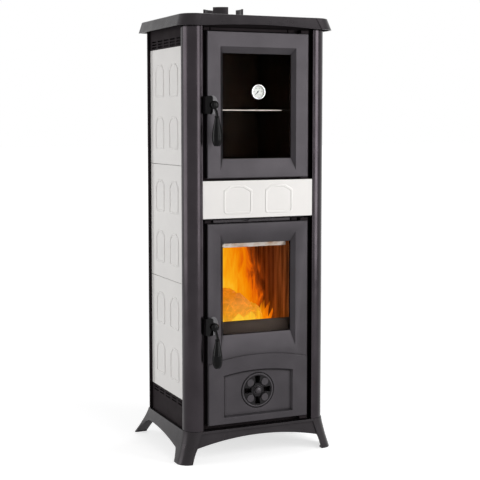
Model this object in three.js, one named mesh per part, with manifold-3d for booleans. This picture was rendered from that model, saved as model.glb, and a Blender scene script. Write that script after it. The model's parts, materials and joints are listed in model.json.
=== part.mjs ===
// A tiled wood stove with an oven over the fire.
// Millimetres, +Z up. The front faces -Y; the origin is on the floor, in the middle of the stove.

import * as THREE from 'three';
import { mergeVertices } from 'three/addons/utils/BufferGeometryUtils.js';
import Module from 'manifold-3d';

const wasm = await Module();
wasm.setup();

// ---------------------------------------------------------------- driving dimensions

// Clearances
const seat = 0.3; // between a piece and what carries it
const play = 0.3; // round a pin, a spindle, a stud or a tongue

// Body
const bodyWidth = 450; // over the two columns
const bodyDepth = 334; // column front to back panel
const sheet = 2; // side and back panels

// Base casting
const baseHeight = 94;
const baseLedge = 2; // how far the base stands out under the body
const baseWall = 7;
const baseDeck = 6;
const footSpreadSide = 23;
const footSpreadBack = 72;
const footSpreadFront = 3;
const footFlare = 1.3; // exponent of the outward sweep
const footFlareBack = 1.2;
const archCrown = 68; // height of the front arch
const archShoulder = 45;
const archFootBend = 0.75; // share of the shoulder's height at which the foot's inner edge turns
const archInset = 29; // body side to the arch's shoulder
const footInset = 13; // body side to the foot's inner edge, on the floor
const footCornerEase = 9; // how much smaller the corner's radius is on the floor
const creaseInset = 45; // body side to the top of the crease between foot and apron
const creaseSplay = 32; // how far the crease leans out on its way to the floor
const apronSetback = 2.5;
const apronLip = 7; // height of the lip along the apron's top
const sideArchCrown = 60;
const sideArchPeak = 34; // back panel to the highest point of the side arch
const sideArchShoulder = 38; // height of its front shoulder
const sideArchFront = 68;
const sideFootFront = 52; // front foot's inner edge, on the floor
const sideArchRear = 18; // behind the back panel, the side arch's rear shoulder
const sideArchRearHeight = 46;
const sideFootBack = 10; // width of the back foot on the floor, seen from the side
const footPad = 6; // thickness of the flange that the foot stands on
const footPadWidth = 16;
const deckVentWidth = 300;
const deckVentFront = 60;
const deckVentInset = 54; // back panel to the vent's back edge
const basePlate = 3;

// Columns
const columnWidth = 48.5;
const columnDepth = 46;
const columnRadius = 40;
const columnWall = 3;
const columnReturn = 24; // depth of the inner edge's return
const columnFlange = 18; // width of the flange beside the tiles

// Top plate
const plateThickness = 6;
const skirtHeight = 34;
const skirtWall = 5;
const plateOverhang = 11;
const skirtFlare = 10;
const plateEdge = 4; // radius of the upper edge
const plateBack = 16; // overhang behind the back panel
const skirtArchRise = 7;
const skirtArchInset = 47; // body side to the end of the skirt's arch
const skirtCornerShare = 0.4; // share of the overhang that goes into the corners' radius
const skirtCreaseTop = 44; // body side to the crease in the skirt's front
const skirtCreaseBottom = 30;
const skirtSetback = 1.5;

// Flue collar
const flueInset = 69; // back panel to the flue's middle
const flueBore = 56.5;
const flueWall = 4.5;
const flueFlange = 63.5;
const flueFlangeThickness = 5;
const flueRim = 64;
const flueRimHeight = 3;
const flueLugHeight = 40;
const flueLugs = 3;
const flueLugAngle = 44; // degrees that one lug covers
const flueLugInset = 0.8; // from the rim's edges
const flueHoleGap = 2; // between the collar's rim and the hole in the top plate

// Doors
const doorSideGap = 14.5;
const doorThickness = 18;
const doorChamfer = 2;
const fireDoorGap = 14; // over the base
const fireDoorHeight = 593;
const airStripGap = 15; // fire door to front tile
const frontTileHeight = 109;
const ovenDoorGap = 7;
const ovenDoorHeight = 421;
const ovenDoorClearance = 41; // oven door to the underside of the top plate
const windowFrame = 40.5; // door edge to the bevel round the glass
const bevelDepth = 12;
const bevelSide = 12;
const fireSill = 220; // door's bottom edge to the bevel
const fireHead = 31;
const fireBevelSill = 44;
const fireBevelHead = 29;
const ovenSill = 21;
const ovenHead = 43;
const ovenBevelSill = 36;
const ovenBevelHead = 19;
const glassThickness = 4;
const glassLap = 8; // how far the glass lies behind the frame
const retainerThickness = 4;
const sealDiameter = 9;
const sealInset = 24; // door edge to the middle of the rope seal
const sealGroove = 3.3; // how deep the rope lies in the door
const sealCorner = 14;
const sealLand = 10; // middle of the seal to the edge of the aperture

// Fire door relief
const lowerFaceRise = 2.5; // how far the lower face stands out
const stepHeight = 180;
const stepRise = 20;
const panelMargin = 49;
const panelBottom = 20;
const panelHeight = 126;
const panelRise = 11;
const panelDepth = 6;
const panelBevel = 6;

// Air rosette
const rosetteHeight = 92; // centre over the door's bottom edge
const rosetteRadius = 52.5;
const rosetteThickness = 5;
const rosetteGap = 1.5; // round the disc
const rosettePocket = 6;
const rosetteRimInner = 46.5;
const rosetteRimOuter = 50.5;
const rosetteRimRise = 1.2;
const rosettePadCircle = 33;
const rosettePadRadius = 11;
const rosetteBossRadius = 13;
const rosetteReliefRise = 1.5;
const rosetteWindowInner = 20;
const rosetteWindowOuter = 43;
const rosetteWindowAngle = 12; // half the angle that a window covers at its outer end, in degrees
const rosetteWindowFoot = 19; // and at its inner end
const crescentInner = 13;
const crescentWidth = 3;
const crescentAngle = 50;
const rosetteKnobRadius = 11.5;
const rosetteKnobRise = 9;
const rosetteStud = 3.5;

// Hinges
const pinRadius = 4;
const pinInset = 12; // door edge to the pin
const pinDepth = 12; // length of the pin inside the door
const pinBoreSpare = 2;
const lugWidth = 24;
const lugHeight = 9;
const ovenLugHeight = 6.1;
const lugFront = 2;

// Front frame
const frameThickness = 8;
const frameSideGap = 8; // front frame to the column's wall
const ashApertureHeight = 158;
const hearthRail = 30; // between the ash and the fire aperture
const tilePadWidth = 20;
const tilePadSpacing = 220;
const tilePadMargin = 14;
const keeperWidth = 11;
const keeperHeight = 24;
const keeperFront = 2.5;
const keeperEdgeGap = 1.5; // keeper to column

// Secondary-air slider and the strips over the doors
const stripFront = 10;
const stripHeight = 8;
const stripRise = 2; // door to strip
const sliderThickness = 4;
const sliderLeft = -140;
const sliderRight = 107;
const sliderTravelLeft = 9;
const sliderTravelRight = 5;
const tongueDepth = 6;
const tongueHeight = 2;
const notchCentre = -38;
const notchWidth = 28;
const notchDepth = 5.5;
const stopWidth = 18;
const ovenStripLeft = -148;
const ovenStripRight = 96;
const ovenStripGap = 3;
const tileLedge = 4;
const tileLedgeFront = 8;

// Tiles
const tileThickness = 9;
const frontTileInset = 1;
const tileRecess = 8; // side tiles behind the column's outer face
const tilesPerSide = 3;
const tileJoint = 1;
const sideTileBottom = 84; // over the base
const sideTileTop = 82; // upper tile to the underside of the top plate
const tileReliefRise = 1.4;
const tileReliefWidth = 5;
const sideWindowWidth = 72;
const sideWindowHeight = 97;
const sideWindowSpacing = 118;
const sideWindowRow = 155;
const sideWindowBottom = 45;
const frontWindowWidth = 89;
const frontWindowHeight = 82;
const frontWindowSpacing = 132;
const frontWindowBottom = 12;
const windowChamferAcross = 0.26; // share of the window's width
const windowChamferDown = 0.16; // share of the window's height
const windowCorner = 9;

// Side and back panels
const rearBarDepth = 5.7;
const ventRowsOver = 3;
const ventRowsUnder = 2;
const ventLength = 38;
const ventHeight = 4;
const ventPitchAcross = 52;
const ventEdge = 8; // side panel's edge to the first slot
const ventPitchDown = 8.5;
const ventOverTiles = 7;
const ventUnderTiles = 9;
const backVentEdge = 90; // back panel's side to the first slot
const backVentRows = 2;
const backVentMargin = 90; // panel's edge to the first row

// Inner body
const innerWall = 3;
const innerSideGap = 40; // body side to the inner body
const innerBackGap = 3;
const smokeGap = 42; // inner body to the underside of the top plate
const hearthThickness = 8;
const hearthDrop = 10; // fire aperture over the hearth
const hearthLedge = 32;
const hearthLedgeHeight = 11;
const hearthEdgeGap = 1;
const grateWidth = 120;
const grateDepth = 140;
const grateFront = 90;
const grateThickness = 4.7;
const grateLap = 8;
const grateSlots = 7;
const grateSlotWidth = 7;
const brickThickness = 25;
const brickDrop = 27; // fire aperture's upper edge to the bricks
const brickInset = 3; // aperture's edge to the side bricks
const brickFront = 36;
const brickBackGap = 11; // back brick to the inner body's back
const baffleThickness = 10;
const baffleFront = 110;
const baffleSideGap = 6;
const guardThickness = 4;
const guardHeight = 85;
const guardLip = 10;
const guardSlots = 5;
const guardSlotWidth = 26;
const guardSlotHeight = 12;
const washSideGap = 24; // aperture's edge to the strip
const washDrop = 40; // how far the strip hangs into the aperture
const washLap = 23;
const washHem = 4;

// Ash drawer
const drawerSideGap = 18; // aperture's edge to the drawer
const drawerFront = 36;
const drawerBackGap = 50; // drawer to the inner body's back
const drawerHeight = 100;
const drawerWall = 2;
const drawerRise = 8; // drawer over the ash aperture's lower edge
const drawerRailThickness = 3;
const drawerRailWidth = 90;
const pullHalfWidth = 30;
const pullReach = 10;
const pullThickness = 4;

// Oven
const ovenBackGap = 44; // oven to the inner body's back
const ovenBarInset = 26; // oven's front and back to the bars it stands on
const ovenBarDepth = 20;
const ovenBarHeight = 5;
const rackHeight = 160; // over the oven's floor
const rackRib = 6;
const rackRibHeight = 4;
const rackWire = 3;
const rackBarWire = 2;
const rackBars = 7;
const rackFront = 45;
const rackBackGap = 17; // oven's back to the rack
const rackSideGap = 0.5;

// Handles
const handleInset = 12; // door edge to the spindle
const spindleRadius = 5;
const hubRadius = 12;
const hubReach = 26;
const hubDome = 7;
const roseWidth = 31;
const roseHeight = 54;
const roseThickness = 2.5;
const roseShift = 4; // rose's middle beside the spindle
const latchLeft = 26;
const latchRight = 3;
const latchHalfHeight = 26;
const latchFront = 20;
const latchBack = 4;
const latchCorner = 6;
const neckRadius = 4.5;
const gripReach = 42; // grip's axis in front of the door
const gripDrop = 36.5; // spindle to the top of the grip
const gripLength = 80;
const gripRadius = 14.6;
const gripTopRadius = 6.5;
const ferruleRadius = 7.5;
const ferruleHeight = 5;
const gripStem = 3;
const gripStemLength = 24;

// Thermometer
const thermometerHeight = 249.5; // over the door's bottom edge
const thermometerRadius = 22;
const thermometerWall = 2.5;
const thermometerFront = 1;
const thermometerBack = 2.4; // thickness of the case's back
const thermometerLip = 0.7;
const thermometerLipWidth = 1;
const thermometerStem = 4;
const thermometerProbe = 45; // how far the probe reaches behind the front
const dialThickness = 0.7;
const lensThickness = 1.5;
const needleThickness = 1;
const needleHub = 2.6;
const needlePin = 1;
const needleLength = 15;
const needleTail = 5;
const needleWidth = 2;
const needleRise = 2; // over the dial
const needleStart = -135; // degrees from upright at rest

// Smoothness
const cornerSteps = 8;
const roundSteps = 32;
const fineSteps = 16;
const smallSteps = 12;
const edgeSteps = 4;
const coarseSteps = 2;
const neckSteps = 7;
const notchSteps = 48;
const ropeSides = 6;

// ---------------------------------------------------------------- worked-out places

const bodyHalf = bodyWidth / 2;
const openingHalf = bodyHalf - columnWidth;
const doorHalf = openingHalf - doorSideGap;
const fireDoorBottom = baseHeight + fireDoorGap;
const fireDoorTop = fireDoorBottom + fireDoorHeight;
const frontTileBottom = fireDoorTop + airStripGap;
const frontTileTop = frontTileBottom + frontTileHeight;
const ovenDoorBottom = frontTileTop + ovenDoorGap;
const ovenDoorTop = ovenDoorBottom + ovenDoorHeight;

const bodyBottom = baseHeight + seat;
const deckBottom = ovenDoorTop + ovenDoorClearance;
const bodyTop = deckBottom - seat;
const plateTop = deckBottom + plateThickness;
const skirtBottom = plateTop - skirtHeight;
const flueCentre = bodyDepth - flueInset;

const frameFront = columnReturn + seat;
const frameBack = frameFront + frameThickness;
const frameHalfWidth = bodyHalf - columnWall - frameSideGap;
const apertureHalf = doorHalf - sealInset - sealLand;
const ashBottom = fireDoorBottom + sealInset + sealLand;
const ashTop = ashBottom + ashApertureHeight;
const fireBottom = ashTop + hearthRail;
const fireTop = fireDoorTop - sealInset - sealLand;
const ovenBottom = ovenDoorBottom + sealInset + sealLand;
const ovenTop = ovenDoorTop - sealInset - sealLand;

const innerFront = frameBack + seat;
const innerBack = bodyDepth - sheet - innerBackGap;
const innerBottom = bodyBottom + basePlate + seat;
const innerTop = deckBottom - smokeGap;
const innerHalfWidth = bodyHalf - innerSideGap;
const ovenBack = innerBack - ovenBackGap;
const hearthTop = fireBottom - hearthDrop;
const hearthBottom = hearthTop - hearthThickness;

const pinX = doorHalf - pinInset;
const pinY = doorThickness / 2;
const handleX = -(doorHalf - handleInset);

const tileFace = bodyHalf - tileRecess;
const tileBack = tileFace - tileThickness;
const sideTilesBottom = baseHeight + sideTileBottom;
const sideTilesTop = deckBottom - sideTileTop;
const sideTilePitch = (sideTilesTop - sideTilesBottom + tileJoint) / tilesPerSide;
const sideTileHeight = sideTilePitch - tileJoint;
const rearBarFront = bodyDepth - sheet - seat - rearBarDepth;
const sidePanelFront = columnDepth + seat;

const stripBottom = fireDoorTop + stripRise;
const stripTop = stripBottom + stripHeight;
const ovenStripBottom = ovenDoorTop + stripRise;

// ---------------------------------------------------------------- solids

const degrees = THREE.MathUtils.degToRad;

// A closed three.js geometry as a solid with its faces pointing out.
function asSolid(geometry) {
  const bare = new THREE.BufferGeometry();
  bare.setAttribute('position', geometry.getAttribute('position').clone());
  if (geometry.index) bare.setIndex(geometry.index.clone());
  const merged = mergeVertices(bare, 1e-3);
  const corners = merged.attributes.position.array;
  const faces = [];
  let volume = 0;
  const a = new THREE.Vector3();
  const b = new THREE.Vector3();
  const c = new THREE.Vector3();
  for (let i = 0; i < merged.index.count; i += 3) {
    const [p, q, r] = [0, 1, 2].map((k) => merged.index.getX(i + k));
    if (p === q || q === r || r === p) continue;
    faces.push([p, q, r]);
    a.fromArray(corners, 3 * p);
    b.fromArray(corners, 3 * q);
    c.fromArray(corners, 3 * r);
    volume += a.dot(b.cross(c)) / 6;
  }
  const triVerts = new Uint32Array(faces.map((f) => (volume < 0 ? [f[0], f[2], f[1]] : f)).flat());
  return new wasm.Manifold(new wasm.Mesh({ numProp: 3, vertProperties: corners, triVerts }));
}

function asGeometry(solid) {
  const mesh = solid.getMesh();
  const geometry = new THREE.BufferGeometry();
  geometry.setAttribute('position', new THREE.BufferAttribute(new Float32Array(mesh.vertProperties), 3));
  geometry.setIndex(new THREE.BufferAttribute(new Uint32Array(mesh.triVerts), 1));
  geometry.computeVertexNormals();
  return geometry;
}

function join(first, ...others) {
  return others.reduce((whole, other) => whole.add(other), first);
}

function cut(first, ...others) {
  return others.reduce((rest, other) => rest.subtract(other), first);
}

function box(x0, x1, y0, y1, z0, z1) {
  const geometry = new THREE.BoxGeometry(x1 - x0, y1 - y0, z1 - z0);
  return asSolid(geometry.translate((x0 + x1) / 2, (y0 + y1) / 2, (z0 + z1) / 2));
}

function extruded(shape, depth, steps) {
  return new THREE.ExtrudeGeometry(shape, { depth, bevelEnabled: false, curveSegments: steps });
}

// A shape drawn in X and Y, from z0 up to z1.
function alongZ(shape, z0, z1, steps = cornerSteps) {
  return asSolid(extruded(shape, z1 - z0, steps).translate(0, 0, z0));
}

// A shape drawn in X and Z, from y0 back to y1.
function alongY(shape, y0, y1, steps = cornerSteps) {
  return asSolid(extruded(shape, y1 - y0, steps).rotateX(Math.PI / 2).translate(0, y1, 0));
}

// A shape drawn in Y and Z, from x0 across to x1.
function alongX(shape, x0, x1, steps = cornerSteps) {
  const turn = new THREE.Matrix4().makeBasis(
    new THREE.Vector3(0, 1, 0),
    new THREE.Vector3(0, 0, 1),
    new THREE.Vector3(1, 0, 0),
  );
  return asSolid(extruded(shape, x1 - x0, steps).applyMatrix4(turn).translate(x0, 0, 0));
}

function points(list) {
  return list.map(([u, v]) => new THREE.Vector2(u, v));
}

function polygon(list) {
  return new THREE.Shape(points(list));
}

function rectangle(u0, u1, v0, v1) {
  return polygon([[u0, v0], [u1, v0], [u1, v1], [u0, v1]]);
}

function disc(radius, u = 0, v = 0) {
  return new THREE.Shape().absarc(u, v, radius, 0, 2 * Math.PI);
}

// The same outline in straight steps, for a hole. A bend takes twice as many.
function traced(path, steps) {
  return new THREE.Path(path.getPoints(steps));
}

// A profile of (radius, y) turned round the Y axis.
function turnedY(profile, steps = roundSteps) {
  return asSolid(new THREE.LatheGeometry(points(profile), steps));
}

// A profile of (radius, z) turned round the Z axis.
function turnedZ(profile, steps = roundSteps) {
  const upright = profile.map(([r, z]) => [r, -z]);
  return asSolid(new THREE.LatheGeometry(points(upright), steps).rotateX(-Math.PI / 2));
}

function rodX(radius, x0, x1, y, z, steps = cornerSteps) {
  const geometry = new THREE.CylinderGeometry(radius, radius, x1 - x0, steps);
  return asSolid(geometry.rotateZ(Math.PI / 2).translate((x0 + x1) / 2, y, z));
}

function rodY(radius, x, y0, y1, z, steps = fineSteps) {
  return asSolid(new THREE.CylinderGeometry(radius, radius, y1 - y0, steps).translate(x, (y0 + y1) / 2, z));
}

function rodZ(radius, x, y, z0, z1, steps = fineSteps) {
  const geometry = new THREE.CylinderGeometry(radius, radius, z1 - z0, steps);
  return asSolid(geometry.rotateX(Math.PI / 2).translate(x, y, (z0 + z1) / 2));
}

// Joins equal outlines, given as rings of 3-D points, into one closed skin. A skin that runs round
// on itself has no ends.
function loft(rings, flat = (p) => new THREE.Vector2(p.x, p.y), endless = false) {
  const count = rings[0].length;
  const corners = rings.flat().flatMap((p) => [p.x, p.y, p.z]);
  const index = [];
  const steps = endless ? rings.length : rings.length - 1;
  for (let i = 0; i < steps; i += 1) {
    const next = (i + 1) % rings.length;
    for (let k = 0; k < count; k += 1) {
      const a = i * count + k;
      const b = i * count + ((k + 1) % count);
      const c = next * count + k;
      const d = next * count + ((k + 1) % count);
      index.push(a, b, d, a, d, c);
    }
  }
  if (!endless) {
    const last = (rings.length - 1) * count;
    const contour = rings[0].map(flat);
    const turned = THREE.ShapeUtils.area(contour) < 0;
    for (const [a, b, c] of THREE.ShapeUtils.triangulateShape(contour, [])) {
      index.push(...(turned ? [a, b, c] : [a, c, b]));
    }
    for (const [a, b, c] of THREE.ShapeUtils.triangulateShape(rings.at(-1).map(flat), [])) {
      index.push(...(turned ? [last + a, last + c, last + b] : [last + a, last + b, last + c]));
    }
  }
  const geometry = new THREE.BufferGeometry();
  geometry.setAttribute('position', new THREE.Float32BufferAttribute(corners, 3));
  geometry.setIndex(index);
  return asSolid(geometry);
}

// A taper between two rectangles, each {x0, x1, z0, z1}, at two places along Y.
function taperY(front, y0, back, y1) {
  const ring = (r, y) => [[r.x0, r.z0], [r.x1, r.z0], [r.x1, r.z1], [r.x0, r.z1]]
    .map(([x, z]) => new THREE.Vector3(x, y, z));
  return loft([ring(front, y0), ring(back, y1)], (p) => new THREE.Vector2(p.x, p.z));
}

function grow(r, side, bottom = side, top = side) {
  return { x0: r.x0 - side, x1: r.x1 + side, z0: r.z0 - bottom, z1: r.z1 + top };
}

function block(r, y0, y1) {
  return box(r.x0, r.x1, y0, y1, r.z0, r.z1);
}

// ---------------------------------------------------------------- materials

function finish(color, roughness, metalness) {
  return new THREE.MeshStandardMaterial({ color, roughness, metalness });
}

const castIron = finish(0x4a474b, 0.55, 0.5);
const paintedSteel = finish(0x46424a, 0.4, 0.5);
const darkSteel = finish(0x2c282b, 0.7, 0.4);
const whiteTile = finish(0xe9e8e6, 0.15, 0);
const clearGlass = finish(0x3a3430, 0.05, 0);
const brick = finish(0xb08a5c, 0.95, 0);
const rope = finish(0x8d8a84, 1, 0);
const chrome = finish(0xd8d8da, 0.1, 1);
const bakelite = finish(0x0c0b0d, 0.15, 0);
const enamel = finish(0x1c1512, 0.3, 0);
const dialWhite = finish(0xf2f2ee, 0.6, 0);
const bareSteel = finish(0x9a9a9c, 0.35, 0.9);

const stove = new THREE.Group();

function piece(parent, name, solid, material, x = 0, y = 0, z = 0) {
  const mesh = new THREE.Mesh(solid.isBufferGeometry ? solid : asGeometry(solid), material);
  mesh.name = name;
  mesh.position.set(x, y, z);
  parent.add(mesh);
  return mesh;
}

// ---------------------------------------------------------------- base and top plate

// The stove's plan at height z: round front corners, square back ones, and a front set back between
// two creases.
function plan(z, { half, front, back, radius, crease, setback }) {
  const outline = [];
  for (let i = 0; i <= cornerSteps; i += 1) {
    const a = Math.PI * (1 + i / cornerSteps / 2);
    outline.push([-half + radius + radius * Math.cos(a), front + radius + radius * Math.sin(a)]);
  }
  if (setback > 0) outline.push([-crease, front], [-crease, front + setback]);
  const right = outline.map(([x, y]) => [-x, y]).reverse();
  return [...outline, ...right, [half, back], [-half, back]].map(([x, y]) => new THREE.Vector3(x, y, z));
}

function basePlan(z, inset, setback) {
  const down = 1 - z / baseHeight;
  const spread = down ** footFlare;
  const spreadBack = down ** footFlareBack;
  return plan(z, {
    half: bodyHalf + baseLedge + footSpreadSide * spread - inset,
    front: -baseLedge - footSpreadFront * spread + inset,
    back: bodyDepth + baseLedge + footSpreadBack * spreadBack - inset,
    radius: columnRadius + baseLedge - footCornerEase * down - inset,
    crease: bodyHalf - creaseInset + creaseSplay * down,
    setback,
  });
}

function baseSkin(levels, inset, setback) {
  return loft(levels.map((z) => basePlan(z, inset, setback)));
}

// The opening between two feet, drawn across: from the floor up to a shoulder, over a low crown and
// down again. Each end is {foot, shoulder, height}.
function archShape(start, peak, crown, end) {
  const shape = new THREE.Shape();
  shape.moveTo(start.foot, -1);
  shape.lineTo(start.foot, 0);
  const bend = (side) => [(side.foot + side.shoulder) / 2, side.height * archFootBend];
  shape.quadraticCurveTo(...bend(start), start.shoulder, start.height);
  shape.quadraticCurveTo((start.shoulder + peak) / 2, crown, peak, crown);
  shape.quadraticCurveTo((end.shoulder + peak) / 2, crown, end.shoulder, end.height);
  shape.quadraticCurveTo(...bend(end), end.foot, 0);
  shape.lineTo(end.foot, -1);
  return shape;
}

function baseCasting() {
  const footInner = bodyHalf - footInset;
  const backReach = bodyDepth + baseLedge + footSpreadBack;
  const backFoot = backReach - sideFootBack;
  const lip = baseHeight - apronLip;
  const levels = [0, 0.2, 0.4, 0.6, 0.8, 1].map((share) => share * lip);
  const skin = join(baseSkin([...levels, baseHeight], 0, apronSetback), baseSkin([lip, baseHeight], 0, 0));
  const hollow = baseSkin([...levels, baseHeight - baseDeck], baseWall, 0);
  const reach = backReach + 1;
  const wide = bodyHalf + baseLedge + footSpreadSide + 1;
  const shoulder = bodyHalf - archInset;
  const left = { foot: -footInner, shoulder: -shoulder, height: archShoulder };
  const right = { foot: footInner, shoulder, height: archShoulder };
  const acrossArch = alongY(archShape(left, 0, archCrown, right), -reach, reach);
  const front = { foot: sideFootFront, shoulder: sideArchFront, height: sideArchShoulder };
  const back = { foot: backFoot, shoulder: bodyDepth + sideArchRear, height: sideArchRearHeight };
  const sideArch = alongX(archShape(front, bodyDepth - sideArchPeak, sideArchCrown, back), -wide, wide);
  const deckVentBack = bodyDepth - deckVentInset;
  const vent = box(-deckVentWidth / 2, deckVentWidth / 2, deckVentFront, deckVentBack, 0, baseHeight + 1);
  const shell = cut(skin, hollow, acrossArch, sideArch, vent);
  const within = baseSkin(levels, footPadWidth, 0);
  const corners = [-1, 1].flatMap((side) => {
    const [x0, x1] = [side * footInner, side * wide].sort((a, b) => a - b);
    return [box(x0, x1, -reach, sideFootFront, 0, footPad), box(x0, x1, backFoot, reach, 0, footPad)];
  });
  return join(shell, ...corners.map((corner) => cut(corner.intersect(skin), within)));
}

function platePlan(growth, z, inset, setback) {
  const share = (z - skirtBottom) / (plateTop - skirtBottom);
  return plan(z, {
    half: bodyHalf + growth - inset,
    front: -growth + inset,
    back: bodyDepth + plateBack - inset,
    radius: columnRadius + growth * skirtCornerShare - inset,
    crease: bodyHalf - THREE.MathUtils.lerp(skirtCreaseBottom, skirtCreaseTop, share),
    setback,
  });
}

function topPlate() {
  const flared = plateOverhang + skirtFlare;
  const rings = [platePlan(flared, skirtBottom, 0, skirtSetback)];
  for (let i = 0; i <= edgeSteps; i += 1) {
    const a = (Math.PI / 2) * (i / edgeSteps);
    const growth = plateOverhang - plateEdge * (1 - Math.cos(a));
    rings.push(platePlan(growth, plateTop - plateEdge * (1 - Math.sin(a)), 0, skirtSetback));
  }
  const inner = loft([
    platePlan(flared, skirtBottom - 1, skirtWall, 0),
    platePlan(plateOverhang, deckBottom, skirtWall, 0),
  ]);
  const archEnd = bodyHalf - skirtArchInset;
  const arch = new THREE.Shape();
  arch.moveTo(-archEnd, skirtBottom - 1);
  arch.lineTo(-archEnd, skirtBottom);
  arch.quadraticCurveTo(0, skirtBottom + 2 * skirtArchRise, archEnd, skirtBottom);
  arch.lineTo(archEnd, skirtBottom - 1);
  const flue = rodZ(flueRim + flueHoleGap, 0, flueCentre, skirtBottom, plateTop + 1, roundSteps);
  return cut(loft(rings), inner, alongY(arch, -flared - 1, 0), flue);
}

function flueCollar() {
  const outer = flueBore + flueWall;
  const bottom = innerTop + seat;
  const rimTop = plateTop + flueRimHeight;
  const ring = turnedZ([
    [flueBore, bottom],
    [flueFlange, bottom],
    [flueFlange, bottom + flueFlangeThickness],
    [outer, bottom + flueFlangeThickness],
    [outer, deckBottom],
    [flueRim, deckBottom],
    [flueRim, rimTop],
    [flueBore, rimTop],
    [flueBore, bottom],
  ]);
  const lugs = [];
  for (let i = 0; i < flueLugs; i += 1) {
    const middle = (2 * Math.PI * i) / flueLugs;
    const half = degrees(flueLugAngle) / 2;
    const shape = new THREE.Shape();
    shape.absarc(0, 0, flueRim - flueLugInset, middle - half, middle + half, false);
    shape.absarc(0, 0, flueBore + flueLugInset, middle + half, middle - half, true);
    lugs.push(alongZ(shape, rimTop - 1, rimTop + flueLugHeight, coarseSteps));
  }
  return join(ring, ...lugs).translate(0, flueCentre, 0);
}

// ---------------------------------------------------------------- columns, panels and tiles

// The right-hand column's section: a rounded front edge with a return inside and a flange behind.
function column() {
  const inner = openingHalf;
  const centre = bodyHalf - columnRadius;
  const shape = new THREE.Shape();
  shape.moveTo(inner, columnReturn);
  shape.lineTo(inner, 0);
  shape.lineTo(centre, 0);
  shape.absarc(centre, columnRadius, columnRadius, -Math.PI / 2, 0, false);
  shape.lineTo(bodyHalf, columnDepth);
  shape.lineTo(bodyHalf - columnFlange, columnDepth);
  shape.lineTo(bodyHalf - columnFlange, columnDepth - columnWall);
  shape.lineTo(bodyHalf - columnWall, columnDepth - columnWall);
  shape.lineTo(bodyHalf - columnWall, columnRadius);
  shape.absarc(centre, columnRadius, columnRadius - columnWall, 0, -Math.PI / 2, true);
  shape.lineTo(inner + columnWall, columnWall);
  shape.lineTo(inner + columnWall, columnReturn);
  return alongZ(shape, bodyBottom, bodyTop);
}

// As many slots as fit between two places.
function ventRow(from, to, height, place) {
  const middle = (from + to) / 2;
  const columns = Math.floor((to - from - ventLength) / ventPitchAcross) + 1;
  const slots = [];
  for (let i = 0; i < columns; i += 1) {
    const start = middle + (i - (columns - 1) / 2) * ventPitchAcross - ventLength / 2;
    slots.push(place(start, start + ventLength, height - ventHeight / 2, height + ventHeight / 2));
  }
  return slots;
}

function sidePanel() {
  const bayFace = tileBack - seat;
  const lowEdge = sideTilesBottom - seat;
  const highEdge = sideTilesTop + seat;
  const outline = polygon([
    [tileFace, bodyBottom],
    [tileFace, lowEdge],
    [bayFace, lowEdge],
    [bayFace, highEdge],
    [tileFace, highEdge],
    [tileFace, bodyTop],
    [tileFace - sheet, bodyTop],
    [tileFace - sheet, highEdge + sheet],
    [bayFace - sheet, highEdge + sheet],
    [bayFace - sheet, lowEdge - sheet],
    [tileFace - sheet, lowEdge - sheet],
    [tileFace - sheet, bodyBottom],
  ]);
  const pan = alongY(outline, sidePanelFront, rearBarFront + 1);
  const rear = bodyDepth - sheet - seat;
  const bar = box(bayFace - sheet, bodyHalf, rearBarFront, rear, bodyBottom, bodyTop);
  const from = sidePanelFront + ventEdge;
  const to = rearBarFront - ventEdge;
  const slot = (y0, y1, z0, z1) => box(bayFace, bodyHalf, y0, y1, z0, z1);
  const slots = [];
  for (let row = 0; row < ventRowsOver; row += 1) {
    slots.push(...ventRow(from, to, sideTilesTop + ventOverTiles + row * ventPitchDown, slot));
  }
  for (let row = 0; row < ventRowsUnder; row += 1) {
    slots.push(...ventRow(from, to, sideTilesBottom - ventUnderTiles - row * ventPitchDown, slot));
  }
  return cut(join(pan, bar), ...slots);
}

function backPanel() {
  const half = bodyHalf - seat;
  const edge = half - backVentEdge;
  const panel = box(-half, half, bodyDepth - sheet, bodyDepth, bodyBottom, bodyTop);
  const slot = (x0, x1, z0, z1) => box(x0, x1, bodyDepth - sheet - 1, bodyDepth + 1, z0, z1);
  const slots = [];
  for (let row = 0; row < backVentRows; row += 1) {
    slots.push(...ventRow(-edge, edge, bodyTop - backVentMargin - row * ventPitchDown, slot));
    slots.push(...ventRow(-edge, edge, bodyBottom + backVentMargin + row * ventPitchDown, slot));
  }
  return cut(panel, ...slots);
}

// A window outline with its upper corners cut off and its lower corners rounded.
function windowOutline(centre, bottom, width, height, inset) {
  const left = centre - width / 2 + inset;
  const right = centre + width / 2 - inset;
  const low = bottom + inset;
  const high = bottom + height - inset;
  const across = width * windowChamferAcross;
  const down = height * windowChamferDown;
  const corner = windowCorner - inset;
  const outline = new THREE.Path();
  outline.moveTo(left + corner, low);
  outline.lineTo(right - corner, low);
  outline.absarc(right - corner, low + corner, corner, -Math.PI / 2, 0, false);
  outline.lineTo(right, high - down);
  outline.lineTo(right - across, high);
  outline.lineTo(left + across, high);
  outline.lineTo(left, high - down);
  outline.absarc(left + corner, low + corner, corner, Math.PI, 1.5 * Math.PI, false);
  return outline;
}

function windowRidge(centre, bottom, width, height) {
  const shape = new THREE.Shape(windowOutline(centre, bottom, width, height, 0).getPoints(1));
  shape.holes.push(traced(windowOutline(centre, bottom, width, height, tileReliefWidth), 1));
  return shape;
}

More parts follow.
